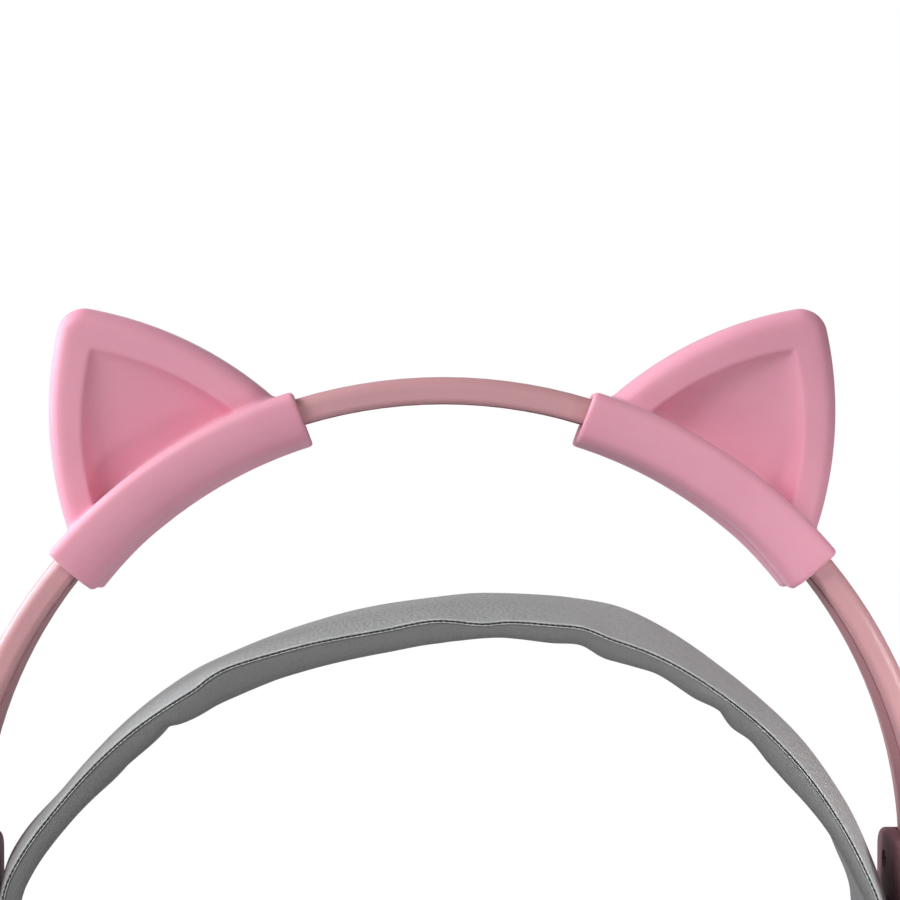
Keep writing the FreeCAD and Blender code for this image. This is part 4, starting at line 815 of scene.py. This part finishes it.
def strap():
    """All the visible layers of the strap."""
    stations = strap_stations(420)
    top = make("strap_top", *strap_top(stations), "strap", "strap_leather")
    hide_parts("strap_leather")
    # The pad wears the lining grey, whose darkness is painted shade.
    pad = make("strap_pad", *strap_pad(stations), "strap", "strap_lining")
    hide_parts("strap_padding")
    shown = [s for s in stations if s[0].z > CENTRE_Z - SEAM_REACH]
    for name, sign in (("front", -1), ("back", 1)):
        beads = joined([
            tube(seam_path(shown, sign, lift, 0.2), lambda i: BEAD_R, 8) for lift in (-0.24, 0.26)
        ])
        make(f"strap_seam_{name}", *beads, "strap", "strap_leather", MATERIALS["seam_edge"])
        threads = stitches(seam_path(shown, sign, 0.02, 0.26), THREAD_R)
        make(f"strap_stitches_{name}", *threads, "strap", "strap_lining", MATERIALS["thread"])


# -------- ear cushions
CUSHION_HOLE_R = 24.0
# Sewn channels: share of the way along the section, depth, and width in points of the section.
CHANNELS = (("outer", 0.36, 0.75, 1.6), ("inner", 0.64, 0.55, 1.4))
PUCKER = 0.16                          # depth of the puckers beside the channels


def cushion_ring():
    """Start shape of a cushion as (x, radius) of its section, skin only, from back to back."""
    x0, x1 = cushion_low.x, cushion_high.x
    r_in, r_out = CUSHION_HOLE_R, cushion_high.z - CUP_Z
    return [
        (x1, r_out - 2.6), (x1 - 0.8, r_out - 1.0), (x1 - 3.0, r_out - 0.4), (x1 - 6.0, r_out - 0.2),
        (x1 - 9.5, r_out - 0.6), (x1 - 12.6, r_out - 1.8), (x1 - 15.2, r_out - 4.2),
        (x0 + 1.2, r_out - 7.2), (x0 + 0.7, r_out - 10.4), (x0 + 1.3, r_in + 5.6),
        (x0 + 3.0, r_in + 2.9), (x0 + 5.6, r_in + 1.4), (x0 + 9.0, r_in + 0.9),
        (x0 + 12.5, r_in + 1.1), (x1 - 2.4, r_in + 1.6), (x1, r_in + 3.0),
    ]


def smooth_section(section, count):
    """Evenly spaced points on a smooth line through a section's points."""
    marks = [0.0]
    for (ax, ar), (bx, br) in zip(section, section[1:]):
        marks.append(marks[-1] + math.hypot(bx - ax, br - ar))
    xs = [(m, p[0]) for m, p in zip(marks, section)]
    rs = [(m, p[1]) for m, p in zip(marks, section)]
    return [(through(xs, m), through(rs, m)) for m in np.linspace(0, marks[-1], count)]


def simulate(piece, pinned, frames, pressure, cap_mm, grow):
    """Inflates a leather skin that is sewn down along its pinned points, and keeps the result."""
    start = np.array([v.co for v in piece.data.vertices])
    group = piece.vertex_groups.new(name="sewn")
    group.add([int(i) for i in pinned], 1.0, "REPLACE")
    cloth_modifier = piece.modifiers.new("skin", "CLOTH")
    settings = cloth_modifier.settings
    settings.quality = 6
    settings.mass = 0.25
    settings.tension_stiffness = settings.compression_stiffness = 18
    settings.shear_stiffness = 8
    settings.bending_stiffness = 0.6
    settings.vertex_group_mass = "sewn"
    settings.shrink_min = -grow
    settings.use_pressure = True
    settings.uniform_pressure_force = pressure
    settings.effector_weights.gravity = 0
    cloth_modifier.point_cache.frame_start = 1
    cloth_modifier.point_cache.frame_end = frames
    cloth_modifier.collision_settings.use_collision = False
    for number in range(1, frames + 1):
        bpy.context.scene.frame_set(number)
    evaluated = piece.evaluated_get(bpy.context.evaluated_depsgraph_get())
    settled = np.array([v.co for v in evaluated.data.vertices])
    piece.modifiers.remove(cloth_modifier)
    bpy.context.scene.frame_set(1)
    moved = settled - start
    far = np.linalg.norm(moved, axis=1, keepdims=True)
    moved *= np.minimum(1.0, cap_mm * MM / np.maximum(far, 1e-9))
    piece.data.vertices.foreach_set("co", (start + moved).ravel())
    piece.data.update()


def cushions():
    """Leather cushions: one is inflated, and the other is its mirror image."""
    around, count = ((168, 44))
    points, faces = spun(smooth_section(cushion_ring(), count), around)
    skin = make("cushion_left", points, faces, None, "cushion_leather")
    seam_rows = [0, 1, count - 2, count - 1]
    pinned = [i * count + j for i in range(around) for j in seam_rows]
    simulate(skin, pinned, frames=16, pressure=2.2, cap_mm=1.6, grow=0.05)
    settled = np.array([v.co for v in skin.data.vertices]) / MM
    ring = settled.reshape(around, count, 3)
    turns = 2 * math.pi * np.arange(around) / around
    radial = np.stack([np.zeros(around), np.cos(turns), np.sin(turns)], -1)
    rng = np.random.default_rng(5)
    for _, share, depth, spread in CHANNELS:
        row = int(count * share)
        pucker = sum(
            rng.uniform(0.3, 1.0) * np.sin(turns * n + rng.uniform(0, 6.28)) for n in (23, 37, 53)
        ) / 3
        for j in range(count):
            near = math.exp(-((j - row) / spread) ** 2)
            push = np.zeros((around, 3))
            beside = math.exp(-((j - row) / (3 * spread)) ** 2)
            push[:, 0] = depth * near + PUCKER * pucker * beside
            outward = -1 if row < count / 2 else 1
            ring[:, j] += push + radial * (outward * 0.35 * depth * near)
    bpy.data.objects.remove(skin)
    for side, sign in SIDES:
        placed = ring.reshape(-1, 3) * np.array((sign, 1, 1))
        facing = faces if sign > 0 else flipped(faces)
        cushion = make(f"cushion_{side}", placed, facing, f"cup_{side}", "cushion_leather")
        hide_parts(f"ear_cushion_{side}")
        for name, share, _, _ in CHANNELS:
            path = [Vector(p * np.array((sign, 1, 1))) for p in ring[:, int(count * share)]]
            path = [p - Vector((sign * 0.05, 0, 0)) for p in path + path[:1]]
            threads = stitches(path, radius=0.2, length=1.7, gap=0.8)
            make(f"cushion_stitches_{name}_{side}", *threads, f"cup_{side}", "cushion_leather",
                 MATERIALS["thread"])


def ear_screens():
    """Foam-backed cloth discs inside the cushions, slightly pillowed."""
    low, high = box_mm("ear_screen_left")
    radius = high.z - CUP_Z
    rings, around = 14, 64
    pillow = 1.3                       # how far the middle stands out
    for side, sign in SIDES:
        points = []
        for face in (0, 1):
            for i in range(rings):
                share = i / (rings - 1)
                swell = pillow * (1 - share**2) if face == 0 else 0.0
                x = (low.x if face == 0 else high.x) - swell
                for j in range(around):
                    turn = 2 * math.pi * j / around
                    r = max(share, 0.01) * radius
                    points.append((sign * x, r * math.cos(turn), CUP_Z + r * math.sin(turn)))
        order = list(range(rings))[::-1] + [rings + i for i in range(rings)]
        points = [points[k * around + j] for k in order for j in range(around)]
        faces = grid_faces(2 * rings, around, close_rows=True, close_columns=True)
        if sign < 0:
            faces = flipped(faces)
        screen = make(f"screen_{side}", points, faces, f"cup_{side}", "screen_cloth")
        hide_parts(f"ear_screen_{side}")


def light_rings():
    """Milky rings round the face plates, with a narrow gap on both sides."""
    low, high = box_mm("light_ring_left")
    gap_in, gap_out = 0.2, 0.15
    r_in = box_mm("face_plate_left")[1].z - CUP_Z + gap_in
    r_out = high.z - CUP_Z - gap_out
    back, front, around = low.x, high.x, 160
    section = [(back, r_in), (front - 0.45, r_in), (front - 0.05, r_in + 0.5),
               (front, (r_in + r_out) / 2), (front - 0.1, r_out - 0.7), (front - 0.6, r_out),
               (back, r_out)]
    for side, sign in SIDES:
        points, faces = spun(section, around, sign, closed=True)
        facing = flipped(faces) if sign > 0 else faces
        ring = make(f"glow_ring_{side}", points, facing, f"cup_{side}", "light_guide")
        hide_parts(f"light_ring_{side}")


# -------- microphone and cords
BOOM_R, RIB_PITCH = 2.3, 1.5
RIB_PROFILE = (0.86, 0.95, 1.0, 1.0, 1.0, 0.95)    # radius at steps along one rib, over BOOM_R
# Route of the boom from its hub, (x, y, height over the cup's axis).
BOOM_LINE = [(82.0, -43.5, -20.5), (81.0, -61.0, -30.5), (76.0, -79.0, -43.5),
             (65.5, -95.0, -53.5), (52.5, -106.0, -58.5)]
BEND_REACH = 0.45                      # share of the shorter run that a bend takes up


def ribbed_boom():
    """Bendable stalk: a rubber sleeve with a groove after every rib."""
    points = [Vector((x, y, CUP_Z + z)) for x, y, z in BOOM_LINE]
    path = [points[0]]
    for before, corner, after in zip(points, points[1:], points[2:]):
        reach = BEND_REACH * min((before - corner).length, (after - corner).length)
        first = corner + (before - corner).normalized() * reach
        last = corner + (after - corner).normalized() * reach
        for t in np.linspace(0, 1, 12):
            path.append(first.lerp(corner, t).lerp(corner.lerp(last, t), t))
    path.append(points[-1])
    marks = marks_along(path)
    axes = [[(m, p[k]) for m, p in zip(marks, path)] for k in range(3)]
    steps = len(RIB_PROFILE)
    even = [
        Vector([float(np.interp(s, marks, [q[1] for q in axis])) for axis in axes])
        for s in np.arange(0, marks[-1], RIB_PITCH / steps)
    ]
    ribbed = tube(even, lambda i: BOOM_R * RIB_PROFILE[i % steps], 24)
    boom = make("boom_cover", *ribbed, "microphone", "boom_rubber")
    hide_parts("mic_boom")


FOAM_PITS = ((0.16, 1.3), (0.12, 2.9), (0.25, 0.25))    # depth, and waves in a millimetre
FOAM_SWELL = 0.05


def windscreen():
    """Foam ball over the microphone, pitted all over."""
    source = frame["nodes"]["mic_windscreen"]
    piece = bpy.data.objects.new("mic_foam", source.data.copy())
    bpy.context.scene.collection.objects.link(piece)
    remesh = piece.modifiers.new("cells", "REMESH")
    remesh.mode = "VOXEL"
    remesh.voxel_size = 0.38 * MM
    evaluated = piece.evaluated_get(bpy.context.evaluated_depsgraph_get())
    made = bpy.data.meshes.new_from_object(evaluated)
    bpy.data.objects.remove(piece)
    points = np.array([v.co for v in made.vertices]) / MM
    normals = np.array([v.normal for v in made.vertices])
    for i, p in enumerate(points):
        at = Vector(p)
        pit = sum(depth * noise.noise(at * pitch) for depth, pitch in FOAM_PITS)
        points[i] = p + normals[i] * (pit + FOAM_SWELL)
    faces = [list(f.vertices) for f in made.polygons]
    foam = make("mic_foam", points, faces, "microphone", "foam")
    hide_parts("mic_windscreen")


CORD_R, CORD_RIBS = 0.9, 24


def elastic_cords():
    """Ribbed rubber cords; on the real headset they stretch as the strap rises, but these are built
    fixed.
    """
    for side, sign in SIDES:
        low, high = box_mm(f"elastic_cords_{side}")
        middle = (low.x + high.x) / 2
        for name, y in (("front", low.y + CORD_R), ("back", high.y - CORD_R)):
            heights = [low.z + (high.z - low.z) * i / CORD_RIBS for i in range(CORD_RIBS + 1)]
            path = [Vector((middle, y, z)) for z in heights]
            ribbed = tube(path, lambda i: CORD_R * (0.97 if i % 2 else 0.88), 16)
            cord = make(f"elastic_{name}_{side}", *ribbed, None, "elastic")
            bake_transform(cord)
            if name == "front":
                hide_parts(f"elastic_cords_{side}")


# -------- stage, light and camera
CAMERA_AT = Vector((-5.0, -400.0, 47.1))
CAMERA_PITCH, CAMERA_YAW = -1.768, -0.906     # degrees from level, and from straight back
LENS = 84.2
FLOOR_R = 440.0
AMBIENT = 0.24


def stage():
    """Pale floor under the headset, and the world behind it."""
    r = Recipe("floor", (0.60, 0.60, 0.60), 0.9)
    r.tint(r.ranged(r.noise(60, 2), 0.4, 0.7, 0, 0.1), (0.56, 0.56, 0.56))
    corners = 128
    turns = [2 * math.pi * i / corners for i in range(corners)]
    rim = [(FLOOR_R * math.cos(t), FLOOR_R * math.sin(t), FLOOR_Z) for t in turns]
    floor = make("floor", rim, [list(range(corners))], None, None, r.material)
    world = bpy.data.worlds.new("studio")
    bpy.context.scene.world = world
    world.use_nodes = True
    nodes, links = world.node_tree.nodes, world.node_tree.links
    seen, lit = nodes["Background"], nodes.new("ShaderNodeBackground")
    seen.inputs["Color"].default_value = lit.inputs["Color"].default_value = (1, 1, 1, 1)
    seen.inputs["Strength"].default_value = 1.0
    lit.inputs["Strength"].default_value = AMBIENT
    mix, ray = nodes.new("ShaderNodeMixShader"), nodes.new("ShaderNodeLightPath")
    links.new(ray.outputs["Is Camera Ray"], mix.inputs["Fac"])
    links.new(lit.outputs[0], mix.inputs[1])
    links.new(seen.outputs[0], mix.inputs[2])
    links.new(mix.outputs[0], nodes["World Output"].inputs["Surface"])


def area_light(name, place, size, power, colour=(1, 1, 1), aim=(0, 0, -0.03), spread=180):
    """A soft square light, with its place, its size and the point it faces in metres."""
    lamp = bpy.data.lights.new(name, "AREA")
    lamp.size = size
    lamp.energy = power
    lamp.color = colour
    lamp.spread = math.radians(spread)
    holder = bpy.data.objects.new(name, lamp)
    bpy.context.scene.collection.objects.link(holder)
    holder.location = Vector(place)
    toward = Vector(aim) - holder.location
    holder.rotation_euler = toward.to_track_quat("-Z", "Y").to_euler()


def camera():
    """Camera at the photograph's viewing angle."""
    data = bpy.data.cameras.new("camera")
    data.lens = LENS
    data.sensor_width = 36.0
    data.clip_start, data.clip_end = 0.01, 50
    holder = bpy.data.objects.new("camera", data)
    bpy.context.scene.collection.objects.link(holder)
    holder.location = CAMERA_AT * MM
    holder.rotation_euler = (math.radians(90 + CAMERA_PITCH), 0, math.radians(CAMERA_YAW))
    bpy.context.scene.camera = holder


cat_ears()
strap()
cushions()
ear_screens()
light_rings()
ribbed_boom()
windscreen()
elastic_cords()
stage()
area_light("key", (-0.68, -0.42, 0.50), size=0.42, power=5.9)
area_light("front", (0.2, -1.4, 0.35), size=0.9, power=2.6)
area_light("rim", (-0.9, 0.2, 0.34), size=0.6, power=10, colour=(0.90, 0.95, 1.0))
area_light("side", (0.35, -0.25, -0.08), size=0.2, power=0.11, aim=(0.09, 0, -0.085), spread=26)
camera()
bpy.context.scene.view_settings.view_transform = "Standard"
